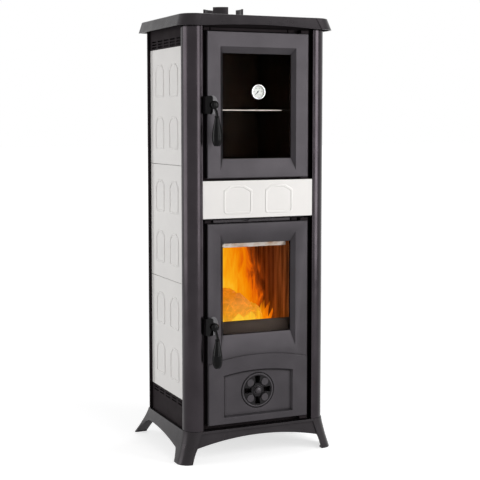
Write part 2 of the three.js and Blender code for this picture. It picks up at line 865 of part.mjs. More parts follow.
// A side tile, its lower front corner at the origin: thickness along X, width along Y.
function sideTile() {
  const width = rearBarFront - sidePanelFront - 2 * seat;
  const body = box(-tileThickness, 0, 0, width, 0, sideTileHeight);
  const ridges = [];
  for (const across of [-1, 1]) {
    for (const row of [0, 1]) {
      const centre = width / 2 + (across * sideWindowSpacing) / 2;
      const bottom = sideWindowBottom + row * sideWindowRow;
      const ridge = windowRidge(centre, bottom, sideWindowWidth, sideWindowHeight);
      ridges.push(alongX(ridge, -1, tileReliefRise));
    }
  }
  return join(body, ...ridges);
}

function frontTile() {
  const half = openingHalf - seat;
  const front = frontTileInset;
  const body = box(-half, half, front, front + tileThickness, frontTileBottom, frontTileTop);
  const ridges = [-1, 1].map((side) => {
    const centre = (side * frontWindowSpacing) / 2;
    const bottom = frontTileBottom + frontWindowBottom;
    const ridge = windowRidge(centre, bottom, frontWindowWidth, frontWindowHeight);
    return alongY(ridge, frontTileInset - tileReliefRise, frontTileInset + 1);
  });
  return join(body, ...ridges);
}

// ---------------------------------------------------------------- front frame

const fireAperture = { x0: -apertureHalf, x1: apertureHalf, z0: fireBottom, z1: fireTop };
const ashAperture = { x0: -apertureHalf, x1: apertureHalf, z0: ashBottom, z1: ashTop };
const ovenAperture = { x0: -apertureHalf, x1: apertureHalf, z0: ovenBottom, z1: ovenTop };

// Bottom and top of each hinge lug.
const hingeLugs = {
  fire_hinge_pin_bottom: [fireDoorBottom - seat - lugHeight, fireDoorBottom - seat],
  fire_hinge_pin_top: [fireDoorTop + seat, fireDoorTop + seat + lugHeight],
  oven_hinge_pin_bottom: [ovenDoorBottom - seat - ovenLugHeight, ovenDoorBottom - seat],
  oven_hinge_pin_top: [ovenDoorTop + seat, ovenDoorTop + seat + lugHeight],
};

function frontFrame() {
  const into = frameFront + 1;
  const slab = box(-frameHalfWidth, frameHalfWidth, frameFront, frameBack, innerBottom, bodyTop);
  const mouths = [fireAperture, ashAperture, ovenAperture];
  const apertures = mouths.map((mouth) => block(mouth, frameFront - 1, frameBack + 1));
  const solid = [];
  const bores = [];
  for (const [bottom, top] of Object.values(hingeLugs)) {
    solid.push(box(pinX - lugWidth / 2, pinX + lugWidth / 2, lugFront, into, bottom, top));
    bores.push(rodZ(pinRadius + play, pinX, pinY, bottom - 1, top + 1));
  }
  const leftStop = sliderLeft - sliderTravelLeft;
  const rightStop = sliderRight + sliderTravelRight;
  const railFront = stripFront + sliderThickness + seat;
  solid.push(box(leftStop - stopWidth, leftStop, stripFront, into, stripBottom, stripTop));
  solid.push(box(rightStop, rightStop + stopWidth, stripFront, into, stripBottom, stripTop));
  const rail = box(leftStop - 1, rightStop + 1, railFront, into, stripBottom, stripTop);
  const tongueBottom = (stripBottom + stripTop - tongueHeight) / 2;
  const groove = box(
    leftStop,
    rightStop,
    railFront - 1,
    railFront + tongueDepth + play,
    tongueBottom - play,
    tongueBottom + tongueHeight + play,
  );
  solid.push(cut(rail, groove));
  const ledgeTop = frontTileBottom - seat;
  solid.push(box(leftStop - stopWidth, pinX, tileLedgeFront, into, ledgeTop - tileLedge, ledgeTop));
  const padFront = frontTileInset + tileThickness + seat;
  for (const side of [-1, 1]) {
    const middle = (side * tilePadSpacing) / 2;
    const low = frontTileBottom + tilePadMargin;
    const high = frontTileTop - tilePadMargin;
    solid.push(box(middle - tilePadWidth / 2, middle + tilePadWidth / 2, padFront, into, low, high));
  }
  const strip = (x0, x1) => box(x0, x1, stripFront, into, ovenStripBottom, ovenStripBottom + stripHeight);
  solid.push(strip(ovenStripLeft, ovenStripRight));
  solid.push(strip(ovenStripLeft - ovenStripGap - stopWidth, ovenStripLeft - ovenStripGap));
  solid.push(strip(ovenStripRight + ovenStripGap, ovenStripRight + ovenStripGap + stopWidth));
  const keeperLeft = -openingHalf + keeperEdgeGap;
  for (const [low, high] of [[fireDoorBottom, fireDoorTop], [ovenDoorBottom, ovenDoorTop]]) {
    const middle = (low + high) / 2;
    const half = keeperHeight / 2;
    solid.push(box(keeperLeft, keeperLeft + keeperWidth, keeperFront, into, middle - half, middle + half));
  }
  return cut(join(slab, ...solid), ...apertures, ...bores);
}

function airSlider() {
  const back = stripFront + sliderThickness;
  const bar = box(sliderLeft, sliderRight, stripFront, back, stripBottom + seat, stripTop);
  const middle = (stripBottom + stripTop) / 2;
  const half = tongueHeight / 2;
  const tongue = box(sliderLeft, sliderRight, back - 1, back + tongueDepth, middle - half, middle + half);
  const radius = (notchWidth ** 2 / 4 + notchDepth ** 2) / (2 * notchDepth);
  const height = stripTop - notchDepth + radius;
  const notch = rodY(radius, notchCentre, stripFront - 1, back + 1, height, notchSteps);
  const [from, to] = [notchCentre - notchWidth, notchCentre + notchWidth];
  const tall = box(from, to, 0, back - play, stripBottom, stripTop + 1);
  return cut(join(bar, tongue), notch.intersect(tall));
}

// ---------------------------------------------------------------- doors

function doorWindow(bottom, top, sill, head) {
  return { x0: -doorHalf + windowFrame, x1: doorHalf - windowFrame, z0: bottom + sill, z1: top - head };
}

const fireWindow = doorWindow(fireDoorBottom, fireDoorTop, fireSill, fireHead);
const fireSight = grow(fireWindow, -bevelSide, -fireBevelSill, -fireBevelHead);
const ovenWindow = doorWindow(ovenDoorBottom, ovenDoorTop, ovenSill, ovenHead);
const ovenSight = grow(ovenWindow, -bevelSide, -ovenBevelSill, -ovenBevelHead);
const glassFront = bevelDepth + seat;
const glassBack = glassFront + glassThickness;

// The rope's path in a door: a rectangle with round corners, in X and Z, grown outward.
function sealPath(bottom, top, growth) {
  const half = doorHalf - sealInset + growth;
  const low = bottom + sealInset - growth;
  const high = top - sealInset + growth;
  const radius = sealCorner + growth;
  const centres = [
    [half - radius, high - radius],
    [-half + radius, high - radius],
    [-half + radius, low + radius],
    [half - radius, low + radius],
  ];
  const steps = 3;
  return centres.flatMap(([x, z], corner) => {
    const arc = [];
    for (let i = 0; i <= steps; i += 1) {
      const a = (Math.PI / 2) * (corner + i / steps);
      arc.push([x + radius * Math.cos(a), z + radius * Math.sin(a)]);
    }
    return arc;
  });
}

function sealGrooveCut(bottom, top) {
  const reach = sealDiameter / 2 + play;
  const shape = new THREE.Shape(points(sealPath(bottom, top, reach)));
  shape.holes.push(new THREE.Path(points(sealPath(bottom, top, -reach))));
  return alongY(shape, doorThickness - sealGroove, doorThickness + 1);
}

function doorSeal(bottom, top) {
  const radius = sealDiameter / 2;
  const middle = doorThickness - sealGroove + seat + radius;
  const rings = [];
  for (let i = 0; i < ropeSides; i += 1) {
    const a = (2 * Math.PI * i) / ropeSides;
    const path = sealPath(bottom, top, radius * Math.cos(a));
    rings.push(path.map(([x, z]) => new THREE.Vector3(x, middle + radius * Math.sin(a), z)));
  }
  return loft(rings, undefined, true);
}

// What both doors share: the slab, the window with its bevel, the glass rebate and the bores.
function doorCasting(bottom, top, window, sight) {
  const edge = { x0: -doorHalf, x1: doorHalf, z0: bottom, z1: top };
  const slab = join(
    block(edge, doorChamfer, doorThickness),
    taperY(grow(edge, -doorChamfer), 0, grow(edge, 0), doorChamfer + 0.01),
  );
  const slope = 1 / bevelDepth;
  const wider = grow(
    window,
    (sight.x0 - window.x0) * slope,
    (sight.z0 - window.z0) * slope,
    (window.z1 - sight.z1) * slope,
  );
  const bevel = taperY(wider, -1, sight, bevelDepth);
  const through = block(sight, 0, doorThickness + 1);
  const rebate = block(grow(sight, glassLap + 2 * seat), bevelDepth, doorThickness + 1);
  const middle = (bottom + top) / 2;
  const spindle = rodY(spindleRadius + play, handleX, -1, doorThickness + 1, middle);
  const bore = pinDepth + pinBoreSpare;
  const bores = [
    rodZ(pinRadius + play, pinX, pinY, bottom - 1, bottom + bore),
    rodZ(pinRadius + play, pinX, pinY, top - bore, top + 1),
  ];
  return cut(slab, bevel, through, rebate, spindle, sealGrooveCut(bottom, top), ...bores);
}

function ovenDoorCasting() {
  return doorCasting(ovenDoorBottom, ovenDoorTop, ovenWindow, ovenSight);
}

// A low arch over straight sides, in X and Z.
function archedPanel(half, bottom, side, rise, inset) {
  const steps = 12;
  const list = [[-half + inset, bottom + inset], [half - inset, bottom + inset]];
  for (let i = 0; i <= steps; i += 1) {
    const t = 1 - (2 * i) / steps;
    list.push([t * (half - inset), bottom + side - inset + rise * (1 - t * t)]);
  }
  return list;
}

// Windows between the hub and the rim, one on each side, and the slots round the diagonal pads.
function rosetteWindows() {
  const outer = degrees(rosetteWindowAngle);
  const inner = degrees(rosetteWindowFoot);
  return [0, 1, 2, 3].map((quarter) => {
    const middle = (quarter * Math.PI) / 2;
    const path = new THREE.Path();
    path.absarc(0, 0, rosetteWindowOuter, middle - outer, middle + outer, false);
    path.absarc(0, 0, rosetteWindowInner, middle + inner, middle - inner, true);
    return traced(path, 1);
  });
}

function rosettePads() {
  return [0, 1, 2, 3].map((quarter) => {
    const a = Math.PI / 4 + (quarter * Math.PI) / 2;
    return [rosettePadCircle * Math.cos(a), rosettePadCircle * Math.sin(a), a + Math.PI];
  });
}

function airRosette() {
  const shape = disc(rosetteRadius);
  shape.holes.push(...rosetteWindows());
  const half = degrees(crescentAngle);
  for (const [x, z, inward] of rosettePads()) {
    const slot = new THREE.Path();
    slot.absarc(x, z, crescentInner + crescentWidth, inward - half, inward + half, false);
    slot.absarc(x, z, crescentInner, inward + half, inward - half, true);
    shape.holes.push(traced(slot, 2));
  }
  const bore = traced(disc(rosetteStud + play), smallSteps / 2);
  shape.holes.push(bore);
  const front = panelDepth + seat;
  const plate = alongY(shape, front, front + rosetteThickness, roundSteps / 2);
  const rimShape = disc(rosetteRimOuter);
  rimShape.holes.push(traced(disc(rosetteRimInner), roundSteps / 2));
  const rim = alongY(rimShape, front - rosetteRimRise, front + 1, roundSteps / 2);
  const bossShape = disc(rosetteBossRadius);
  bossShape.holes.push(bore);
  const relief = [alongY(bossShape, front - rosetteReliefRise, front + 1, fineSteps / 2)];
  for (const [x, z] of rosettePads()) {
    relief.push(rodY(rosettePadRadius, x, front - rosetteReliefRise, front + 1, z, smallSteps));
  }
  return join(plate, rim, ...relief);
}

function rosetteKnob() {
  const base = panelDepth + seat - rosetteReliefRise - seat;
  const profile = [[0, panelDepth + rosettePocket + rosetteStud]];
  profile.push([rosetteStud, panelDepth + rosettePocket + rosetteStud]);
  profile.push([rosetteStud, base]);
  const steps = 6;
  for (let i = 0; i < steps; i += 1) {
    const a = (Math.PI / 2) * (i / steps);
    profile.push([rosetteKnobRadius * Math.cos(a), base - 1 - (rosetteKnobRise - 1) * Math.sin(a)]);
  }
  profile.splice(3, 0, [rosetteKnobRadius, base]);
  profile.push([0, base - rosetteKnobRise]);
  return turnedY(profile, fineSteps);
}

function fireDoorCasting() {
  const casting = doorCasting(fireDoorBottom, fireDoorTop, fireWindow, fireSight);
  const face = -lowerFaceRise;
  const lower = alongY(
    polygon(archedPanel(doorHalf - doorChamfer, fireDoorBottom + doorChamfer, stepHeight, stepRise, 0)),
    face,
    1,
  );
  const panelHalf = doorHalf - panelMargin;
  const deep = face + panelDepth + lowerFaceRise;
  const ring = (inset, y) => {
    const outline = archedPanel(panelHalf, fireDoorBottom + panelBottom, panelHeight, panelRise, inset);
    return outline.map(([x, z]) => new THREE.Vector3(x, y, z));
  };
  const slope = panelBevel / (deep - face);
  const panel = loft([ring(-slope, face - 1), ring(panelBevel, deep)], (p) => new THREE.Vector2(p.x, p.z));
  const centre = fireDoorBottom + rosetteHeight;
  const pocket = rodY(rosetteRadius + rosetteGap, 0, 0, panelDepth + rosettePocket, centre, roundSteps);
  const airways = rosetteWindows().map((path) => {
    const hole = new THREE.Shape(path.getPoints());
    return asSolid(asGeometry(alongY(hole, 0, doorThickness + 1)).translate(0, 0, centre));
  });
  const stud = rodY(rosetteStud + play, 0, 0, doorThickness + 1, centre);
  return cut(join(casting, lower), panel, pocket, stud, ...airways);
}

function doorGlass(sight, bore) {
  const pane = block(grow(sight, glassLap), glassFront, glassBack);
  return bore ? cut(pane, bore) : pane;
}

function glassRetainer(sight) {
  const front = glassBack + seat;
  const outer = block(grow(sight, glassLap), front, front + retainerThickness);
  return cut(outer, block(sight, front - 1, front + retainerThickness + 1));
}

// ---------------------------------------------------------------- handles, round the spindle's axis

function ellipse(width, height, u) {
  return new THREE.Shape().absellipse(u, 0, width / 2, height / 2, 0, 2 * Math.PI);
}

function handleRose() {
  const shape = ellipse(roseWidth, roseHeight, roseShift);
  shape.holes.push(traced(disc(spindleRadius + play), fineSteps / 2));
  return alongY(shape, -seat - roseThickness, -seat, 10);
}

function handleLever() {
  const back = -seat - roseThickness - seat;
  const spindle = rodY(spindleRadius, 0, back - 1, doorThickness, 0);
  const dome = [];
  for (let i = 0; i <= edgeSteps; i += 1) {
    const a = (Math.PI / 2) * (i / edgeSteps);
    dome.push([hubRadius * Math.cos(a), -hubReach - hubDome * Math.sin(a)]);
  }
  dome[edgeSteps][0] = 0;
  const hub = turnedY([[0, back], [hubRadius, back], ...dome], fineSteps);
  const latch = new THREE.Shape();
  const high = latchHalfHeight;
  latch.moveTo(-latchLeft + latchCorner, -high);
  latch.lineTo(-latchRight - latchCorner, -high);
  latch.quadraticCurveTo(-latchRight, -high, -latchRight, -high + latchCorner);
  latch.lineTo(-latchRight, high - latchCorner);
  latch.quadraticCurveTo(-latchRight, high, -latchRight - latchCorner, high);
  latch.lineTo(-latchLeft + latchCorner, high);
  latch.quadraticCurveTo(-latchLeft, high, -latchLeft, high - latchCorner);
  latch.lineTo(-latchLeft, -high + latchCorner);
  latch.quadraticCurveTo(-latchLeft, -high, -latchLeft + latchCorner, -high);
  const plate = alongY(latch, -latchFront, -latchBack, coarseSteps);
  const ferruleTop = -gripDrop + seat + ferruleHeight;
  const route = new THREE.CatmullRomCurve3([
    new THREE.Vector3(0, -hubReach + neckRadius, 0),
    new THREE.Vector3(0, -hubReach - neckRadius, -hubRadius),
    new THREE.Vector3(0, -gripReach + 1, ferruleTop + neckRadius),
    new THREE.Vector3(0, -gripReach, ferruleTop - 1),
  ]);
  const bent = { steps: neckSteps, curveSegments: edgeSteps, extrudePath: route, bevelEnabled: false };
  const neck = asSolid(new THREE.ExtrudeGeometry(disc(neckRadius), bent));
  const ferrule = turnedZ([
    [0, ferruleTop],
    [ferruleRadius - 2, ferruleTop],
    [ferruleRadius, ferruleTop - ferruleHeight / 2],
    [ferruleRadius - 1, ferruleTop - ferruleHeight],
    [gripStem, ferruleTop - ferruleHeight],
    [gripStem, -gripDrop - gripStemLength],
    [0, -gripDrop - gripStemLength],
  ], smallSteps);
  const placed = asSolid(asGeometry(ferrule).translate(0, -gripReach, 0));
  return join(spindle, hub, plate, neck, placed);
}

// Shares of the grip's length and of its swelling from the top radius to the full one.
const gripProfile = [[0, 0], [0.12, 0.2], [0.25, 0.45], [0.4, 0.74], [0.55, 0.94], [0.68, 1], [0.8, 0.94]];

function handleGrip() {
  const low = -gripDrop - gripLength;
  const swell = (s) => gripTopRadius + (gripRadius - gripTopRadius) * s;
  const outer = gripProfile.map(([t, s]) => [swell(s), -gripDrop - gripLength * t]);
  outer.push([swell(0.6), low + gripLength * 0.07], [gripTopRadius, low]);
  const boreDepth = gripStemLength + 2;
  return turnedZ([
    [0, -gripDrop - boreDepth],
    [gripStem + play, -gripDrop - boreDepth],
    [gripStem + play, -gripDrop],
    ...outer,
    [0, low],
  ], fineSteps);
}

// ---------------------------------------------------------------- thermometer, round its own axis

const dialFront = bevelDepth - thermometerBack - seat - dialThickness;
const thermometerInner = thermometerRadius - thermometerWall;

function thermometerCase() {
  const lipInner = thermometerInner - thermometerLipWidth;
  const lip = thermometerFront + thermometerLip;
  const back = bevelDepth - thermometerBack;
  const pinFront = lip + 2 * seat + lensThickness;
  return turnedY([
    [0, thermometerProbe],
    [thermometerStem, thermometerProbe],
    [thermometerStem, bevelDepth],
    [thermometerRadius, bevelDepth],
    [thermometerRadius, thermometerFront],
    [lipInner, thermometerFront],
    [lipInner, lip],
    [thermometerInner, lip],
    [thermometerInner, back],
    [needlePin, back],
    [needlePin, pinFront],
    [0, pinFront],
  ], 2 * smallSteps);
}

function thermometerDial() {
  const shape = disc(thermometerInner - play);
  shape.holes.push(traced(disc(needlePin + play), 4));
  return alongY(shape, dialFront, dialFront + dialThickness, smallSteps);
}

function thermometerLens() {
  const front = thermometerFront + thermometerLip + seat;
  return rodY(thermometerInner - play, 0, front, front + lensThickness, 0, 2 * smallSteps);
}

function thermometerNeedle() {
  const half = needleWidth / 2;
  const shape = new THREE.Shape();
  const root = Math.sqrt(needleHub ** 2 - half ** 2);
  const angle = Math.asin(half / needleHub);
  shape.moveTo(half, root);
  shape.lineTo(0, needleLength);
  shape.lineTo(-half, root);
  shape.absarc(0, 0, needleHub, Math.PI / 2 + angle, 1.5 * Math.PI - angle, false);
  shape.lineTo(-half, -needleTail);
  shape.lineTo(half, -needleTail);
  shape.absarc(0, 0, needleHub, -Math.PI / 2 + angle, Math.PI / 2 - angle, false);
  shape.holes.push(traced(disc(needlePin + play), 4));
  const front = dialFront - needleRise;
  return alongY(shape, front, front + needleThickness, 2);
}

// ---------------------------------------------------------------- inside

function innerBody() {
  const shell = box(-innerHalfWidth, innerHalfWidth, innerFront, innerBack, innerBottom, innerTop);
  const hollow = box(
    -innerHalfWidth + innerWall,
    innerHalfWidth - innerWall,
    innerFront - 1,
    innerBack - innerWall,
    innerBottom + innerWall,
    innerTop - innerWall,
  );
  const flue = rodZ(flueBore, 0, flueCentre, innerTop - innerWall - 1, innerTop + 1, roundSteps);
  const wall = innerHalfWidth - 1;
  const inside = innerBack - 1;
  const ledge = (width, z0, z1, y0, y1) => [-1, 1].map((side) => {
    const [x0, x1] = [side * wall, side * (wall - width)].sort((a, b) => a - b);
    return box(x0, x1, y0, y1, z0, z1);
  });
  const hearthLedgeTop = hearthBottom - seat;
  const railTop = ashBottom + drawerRise - seat;
  const barTop = ovenBottom - innerWall - seat;
  const bars = [innerFront + ovenBarInset, ovenBack - ovenBarInset - ovenBarDepth].map((front) => (
    box(-wall, wall, front, front + ovenBarDepth, barTop - ovenBarHeight, barTop)
  ));
  return join(
    cut(shell, hollow, flue),
    ...ledge(hearthLedge, hearthLedgeTop - hearthLedgeHeight, hearthLedgeTop, innerFront, inside),
    ...ledge(drawerRailWidth, railTop - drawerRailThickness, railTop, innerFront, inside),
    ...bars,
  );
}

function fireboxFloor() {
  const half = innerHalfWidth - innerWall - hearthEdgeGap;
  const front = innerFront + hearthEdgeGap;
  const back = innerBack - innerWall - hearthEdgeGap;
  const plate = box(-half, half, front, back, hearthBottom, hearthTop);
  const grate = { x: grateWidth / 2, y0: grateFront, y1: grateFront + grateDepth };
  const rebate = box(
    -grate.x - play,
    grate.x + play,
    grate.y0 - play,
    grate.y1 + play,
    hearthTop - grateThickness - seat,
    hearthTop + 1,
  );
  const hole = box(
    -grate.x + grateLap,
    grate.x - grateLap,
    grate.y0 + grateLap,
    grate.y1 - grateLap,
    hearthBottom - 1,
    hearthTop + 1,
  );
  return cut(plate, rebate, hole);
}

function fireGrate() {
  const half = grateWidth / 2;
  const grateBack = grateFront + grateDepth;
  const plate = box(-half, half, grateFront, grateBack, hearthTop - grateThickness, hearthTop);
  const pitch = (grateWidth - 2 * grateLap) / grateSlots;
  const slots = [];
  for (let i = 0; i < grateSlots; i += 1) {
    const x = (i - (grateSlots - 1) / 2) * pitch;
    slots.push(box(
      x - grateSlotWidth / 2,
      x + grateSlotWidth / 2,
      grateFront + grateLap + pitch / 2,
      grateFront + grateDepth - grateLap - pitch / 2,
      hearthTop - grateThickness - 1,
      hearthTop + 1,
    ));
  }
  return cut(plate, ...slots);
}

const brickBottom = hearthTop + seat;
const brickTop = fireTop - brickDrop;
const brickInner = apertureHalf + brickInset;
const backBrickFront = innerBack - innerWall - brickBackGap - brickThickness;
const brickBack = backBrickFront - seat;

function logGuard() {
  const half = apertureHalf - 2;
  const back = brickFront + guardThickness;
  const top = brickBottom + guardHeight;
  const plate = box(-half, half, brickFront, back, brickBottom, top);
  const lip = box(-half, half, brickFront, brickFront + guardLip, top - guardThickness, top);
  const slots = [];
  for (let i = 0; i < guardSlots; i += 1) {
    const x = (i - (guardSlots - 1) / 2) * ((2 * half) / guardSlots);
    const z = brickBottom + guardSlotHeight;
    slots.push(box(
      x - guardSlotWidth / 2,
      x + guardSlotWidth / 2,
      brickFront - 1,
      back + 1,
      z,
      z + guardSlotHeight,
    ));
  }
  return cut(join(plate, lip), ...slots);
}

function airWashStrip() {
  const low = fireTop - washDrop;
  const outline = polygon([
    [innerFront, low],
    [innerFront + washHem, low],
    [innerFront + washHem, low + sheet],
    [innerFront + sheet, low + sheet],
    [innerFront + sheet, fireTop + washLap],
    [innerFront, fireTop + washLap],
  ]);
  const half = apertureHalf - washSideGap;
  return alongX(outline, -half, half);
}

function ashDrawer() {
  const bottom = ashBottom + drawerRise;
  const top = bottom + drawerHeight;
  const half = apertureHalf - drawerSideGap;
  const back = innerBack - innerWall - drawerBackGap;
  const outer = box(-half, half, drawerFront, back, bottom, top);
  const inner = box(
    -half + drawerWall,
    half - drawerWall,
    drawerFront + drawerWall,
    back - drawerWall,
    bottom + drawerWall,
    top + 1,
  );
  const reach = drawerFront - pullReach;
  const pull = polygon([
    [-pullHalfWidth, drawerFront + 1],
    [-pullHalfWidth, reach],
    [pullHalfWidth, reach],
    [pullHalfWidth, drawerFront + 1],
    [pullHalfWidth - pullThickness, drawerFront + 1],
    [pullHalfWidth - pullThickness, reach + pullThickness],
    [-pullHalfWidth + pullThickness, reach + pullThickness],
    [-pullHalfWidth + pullThickness, drawerFront + 1],
  ]);
  const middle = (bottom + top) / 2;
  return join(cut(outer, inner), alongZ(pull, middle - pullThickness, middle + pullThickness));
}

const rackBottom = ovenBottom + rackHeight;
const rackBack = ovenBack - rackBackGap;

function ovenBox() {
  const outer = { x0: ovenAperture.x0 - innerWall, x1: ovenAperture.x1 + innerWall };
  const shell = box(outer.x0, outer.x1, innerFront, ovenBack, ovenBottom - innerWall, ovenTop + innerWall);
  const hollow = block(ovenAperture, innerFront - 1, ovenBack - innerWall);
  const ribTop = rackBottom - seat;
  const ribs = [-1, 1].map((side) => {
    const [x0, x1] = [side * (apertureHalf + 1), side * (apertureHalf - rackRib)].sort((a, b) => a - b);
    return box(x0, x1, rackFront - rackWire, rackBack + rackWire, ribTop - rackRibHeight, ribTop);
  });
  return join(cut(shell, hollow), ...ribs);
}

function ovenRack() {
  const z = rackBottom + rackWire;
  const side = apertureHalf - rackSideGap - rackWire;
  const rods = [
    rodX(rackWire, -side - rackWire, side + rackWire, rackFront, z),
    rodX(rackWire, -side - rackWire, side + rackWire, rackBack, z),
    rodY(rackWire, -side, rackFront, rackBack, z, cornerSteps),
    rodY(rackWire, side, rackFront, rackBack, z, cornerSteps),
  ];
  for (let i = 0; i < rackBars; i += 1) {
    const x = ((i + 1) / (rackBars + 1) - 0.5) * 2 * side;
    rods.push(rodY(rackBarWire, x, rackFront, rackBack, z, 6));
  }
  return join(...rods);
}

// ---------------------------------------------------------------- the stove

const body = new THREE.Group();
stove.add(body);

piece(body, 'base_casting', baseCasting(), castIron);
const plateHalf = tileBack - seat - sheet - seat;
const plateBackEdge = bodyDepth - sheet - seat;
piece(
  body,
  'base_plate',
  box(-plateHalf, plateHalf, frameFront, plateBackEdge, bodyBottom, bodyBottom + basePlate),
  darkSteel,
);
piece(body, 'top_plate', topPlate(), castIron);
piece(body, 'flue_collar', flueCollar(), castIron);
piece(body, 'back_panel', backPanel(), darkSteel);
piece(body, 'front_frame', frontFrame(), darkSteel);
piece(body, 'front_tile', frontTile(), whiteTile);
piece(body, 'air_slider', airSlider(), bareSteel);

const columnSkin = asGeometry(column());
const panelSkin = asGeometry(sidePanel());
const tileSkin = asGeometry(sideTile());
for (const [side, mirror] of [['right', 1], ['left', -1]]) {
  const flank = new THREE.Group();
  flank.scale.x = mirror;
  body.add(flank);
  piece(flank, `column_${side}`, columnSkin, paintedSteel);
  piece(flank, `side_panel_${side}`, panelSkin, darkSteel);
  for (let i = 0; i < tilesPerSide; i += 1) {
    const z = sideTilesBottom + i * sideTilePitch;
    piece(flank, `side_tile_${side}_${i + 1}`, tileSkin, whiteTile, tileFace, sidePanelFront + seat, z);
  }
}

for (const [name, [bottom, top]] of Object.entries(hingeLugs)) {
  const upper = name.endsWith('top');
  const low = upper ? bottom - seat - pinDepth : bottom;
  const high = upper ? top : top + seat + pinDepth;
  piece(body, name, rodZ(pinRadius, pinX, pinY, low, high), bareSteel);
}

const inside = new THREE.Group();
body.add(inside);
piece(inside, 'inner_body', innerBody(), darkSteel);
piece(inside, 'firebox_floor', fireboxFloor(), castIron);
piece(inside, 'fire_grate', fireGrate(), castIron);
const sideBrick = (side) => {
  const [x0, x1] = [side * brickInner, side * (brickInner + brickThickness)].sort((a, b) => a - b);
  return box(x0, x1, brickFront, brickBack, brickBottom, brickTop);
};
piece(inside, 'firebrick_left', sideBrick(-1), brick);
piece(inside, 'firebrick_right', sideBrick(1), brick);
const brickReach = brickInner + brickThickness;
piece(
  inside,
  'firebrick_back',
  box(-brickReach, brickReach, backBrickFront, backBrickFront + brickThickness, brickBottom, brickTop),
  brick,
);
const baffleHalf = brickReach - baffleSideGap;
const baffleBottom = brickTop + seat;
const baffleTop = baffleBottom + baffleThickness;
piece(
  inside,
  'fire_baffle',
  box(-baffleHalf, baffleHalf, baffleFront, brickBack + brickThickness, baffleBottom, baffleTop),
  brick,
);
piece(inside, 'log_guard', logGuard(), castIron);
piece(inside, 'air_wash_strip', airWashStrip(), bareSteel);
piece(inside, 'ash_drawer', ashDrawer(), darkSteel);
piece(inside, 'oven_box', ovenBox(), enamel);
piece(inside, 'oven_rack', ovenRack(), chrome);

const roseSkin = asGeometry(handleRose());
const leverSkin = asGeometry(handleLever());
const gripSkin = asGeometry(handleGrip());

function door(name, bottom, top, casting, sight, bore) {
  const group = new THREE.Group();
  stove.add(group);
  piece(group, `${name}_door_frame`, casting, castIron);
  piece(group, `${name}_door_glass`, doorGlass(sight, bore), clearGlass);
  piece(group, `${name}_glass_retainer`, glassRetainer(sight), darkSteel);
  piece(group, `${name}_door_seal`, doorSeal(bottom, top), rope);
  const middle = (bottom + top) / 2;
  piece(group, `${name}_handle_rose`, roseSkin, chrome, handleX, 0, middle);
  const handle = new THREE.Group();
  handle.position.set(handleX, 0, middle);
  group.add(handle);
  piece(handle, `${name}_handle_lever`, leverSkin, chrome);
  piece(handle, `${name}_handle_grip`, gripSkin, bakelite, 0, -gripReach, 0);
  return group;
}

const thermometerZ = ovenDoorBottom + thermometerHeight;
const stemBore = rodY(thermometerStem + play, 0, glassFront - 1, glassBack + 1, thermometerZ);
const ovenDoor = door('oven', ovenDoorBottom, ovenDoorTop, ovenDoorCasting(), ovenSight, stemBore);
const thermometer = new THREE.Group();
thermometer.position.z = thermometerZ;
ovenDoor.add(thermometer);
piece(thermometer, 'thermometer_case', thermometerCase(), chrome);
piece(thermometer, 'thermometer_dial', thermometerDial(), dialWhite);
piece(thermometer, 'thermometer_lens', thermometerLens(), clearGlass);
const needle = piece(thermometer, 'thermometer_needle', thermometerNeedle(), bakelite);
needle.rotation.y = degrees(needleStart);

const fireDoor = door('fire', fireDoorBottom, fireDoorTop, fireDoorCasting(), fireSight, null);
const rosette = new THREE.Group();
rosette.position.z = fireDoorBottom + rosetteHeight;
fireDoor.add(rosette);
piece(rosette, 'air_rosette', airRosette(), castIron);
piece(rosette, 'rosette_knob', rosetteKnob(), castIron);

// The origin lies under the middle of the whole stove, handles and feet included.
const extent = new THREE.Box3().setFromObject(stove);
stove.position.y = -(extent.min.y + extent.max.y) / 2;

export default stove;
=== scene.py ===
"""The looks of a tiled wood stove with an oven over the fire. Metres, +Z up, the doors face -Y."""

import json
import math

import bmesh
import bpy
from mathutils import Matrix, Vector, noise

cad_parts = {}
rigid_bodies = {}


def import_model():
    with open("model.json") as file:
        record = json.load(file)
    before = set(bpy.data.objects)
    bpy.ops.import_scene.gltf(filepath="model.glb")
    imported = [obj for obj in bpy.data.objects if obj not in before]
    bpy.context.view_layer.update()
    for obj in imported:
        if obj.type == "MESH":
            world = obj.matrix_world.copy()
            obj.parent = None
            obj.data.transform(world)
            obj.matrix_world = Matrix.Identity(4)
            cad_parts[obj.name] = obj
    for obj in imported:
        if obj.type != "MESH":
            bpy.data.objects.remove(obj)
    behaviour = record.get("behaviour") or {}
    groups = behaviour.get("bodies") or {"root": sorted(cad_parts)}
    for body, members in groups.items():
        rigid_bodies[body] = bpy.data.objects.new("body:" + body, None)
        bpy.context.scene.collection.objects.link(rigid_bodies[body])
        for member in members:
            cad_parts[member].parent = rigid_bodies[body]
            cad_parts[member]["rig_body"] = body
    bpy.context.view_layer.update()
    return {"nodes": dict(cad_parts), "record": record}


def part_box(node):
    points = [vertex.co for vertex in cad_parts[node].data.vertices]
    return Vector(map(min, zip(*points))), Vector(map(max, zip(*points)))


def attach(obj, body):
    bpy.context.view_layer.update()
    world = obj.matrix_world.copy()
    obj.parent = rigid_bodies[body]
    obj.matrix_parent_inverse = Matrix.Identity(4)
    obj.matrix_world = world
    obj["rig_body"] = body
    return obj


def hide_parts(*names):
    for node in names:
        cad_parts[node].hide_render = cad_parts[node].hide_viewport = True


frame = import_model()
nodes = frame["nodes"]
MM = 0.001


# ---------------------------------------------------------------- camera, light and floor

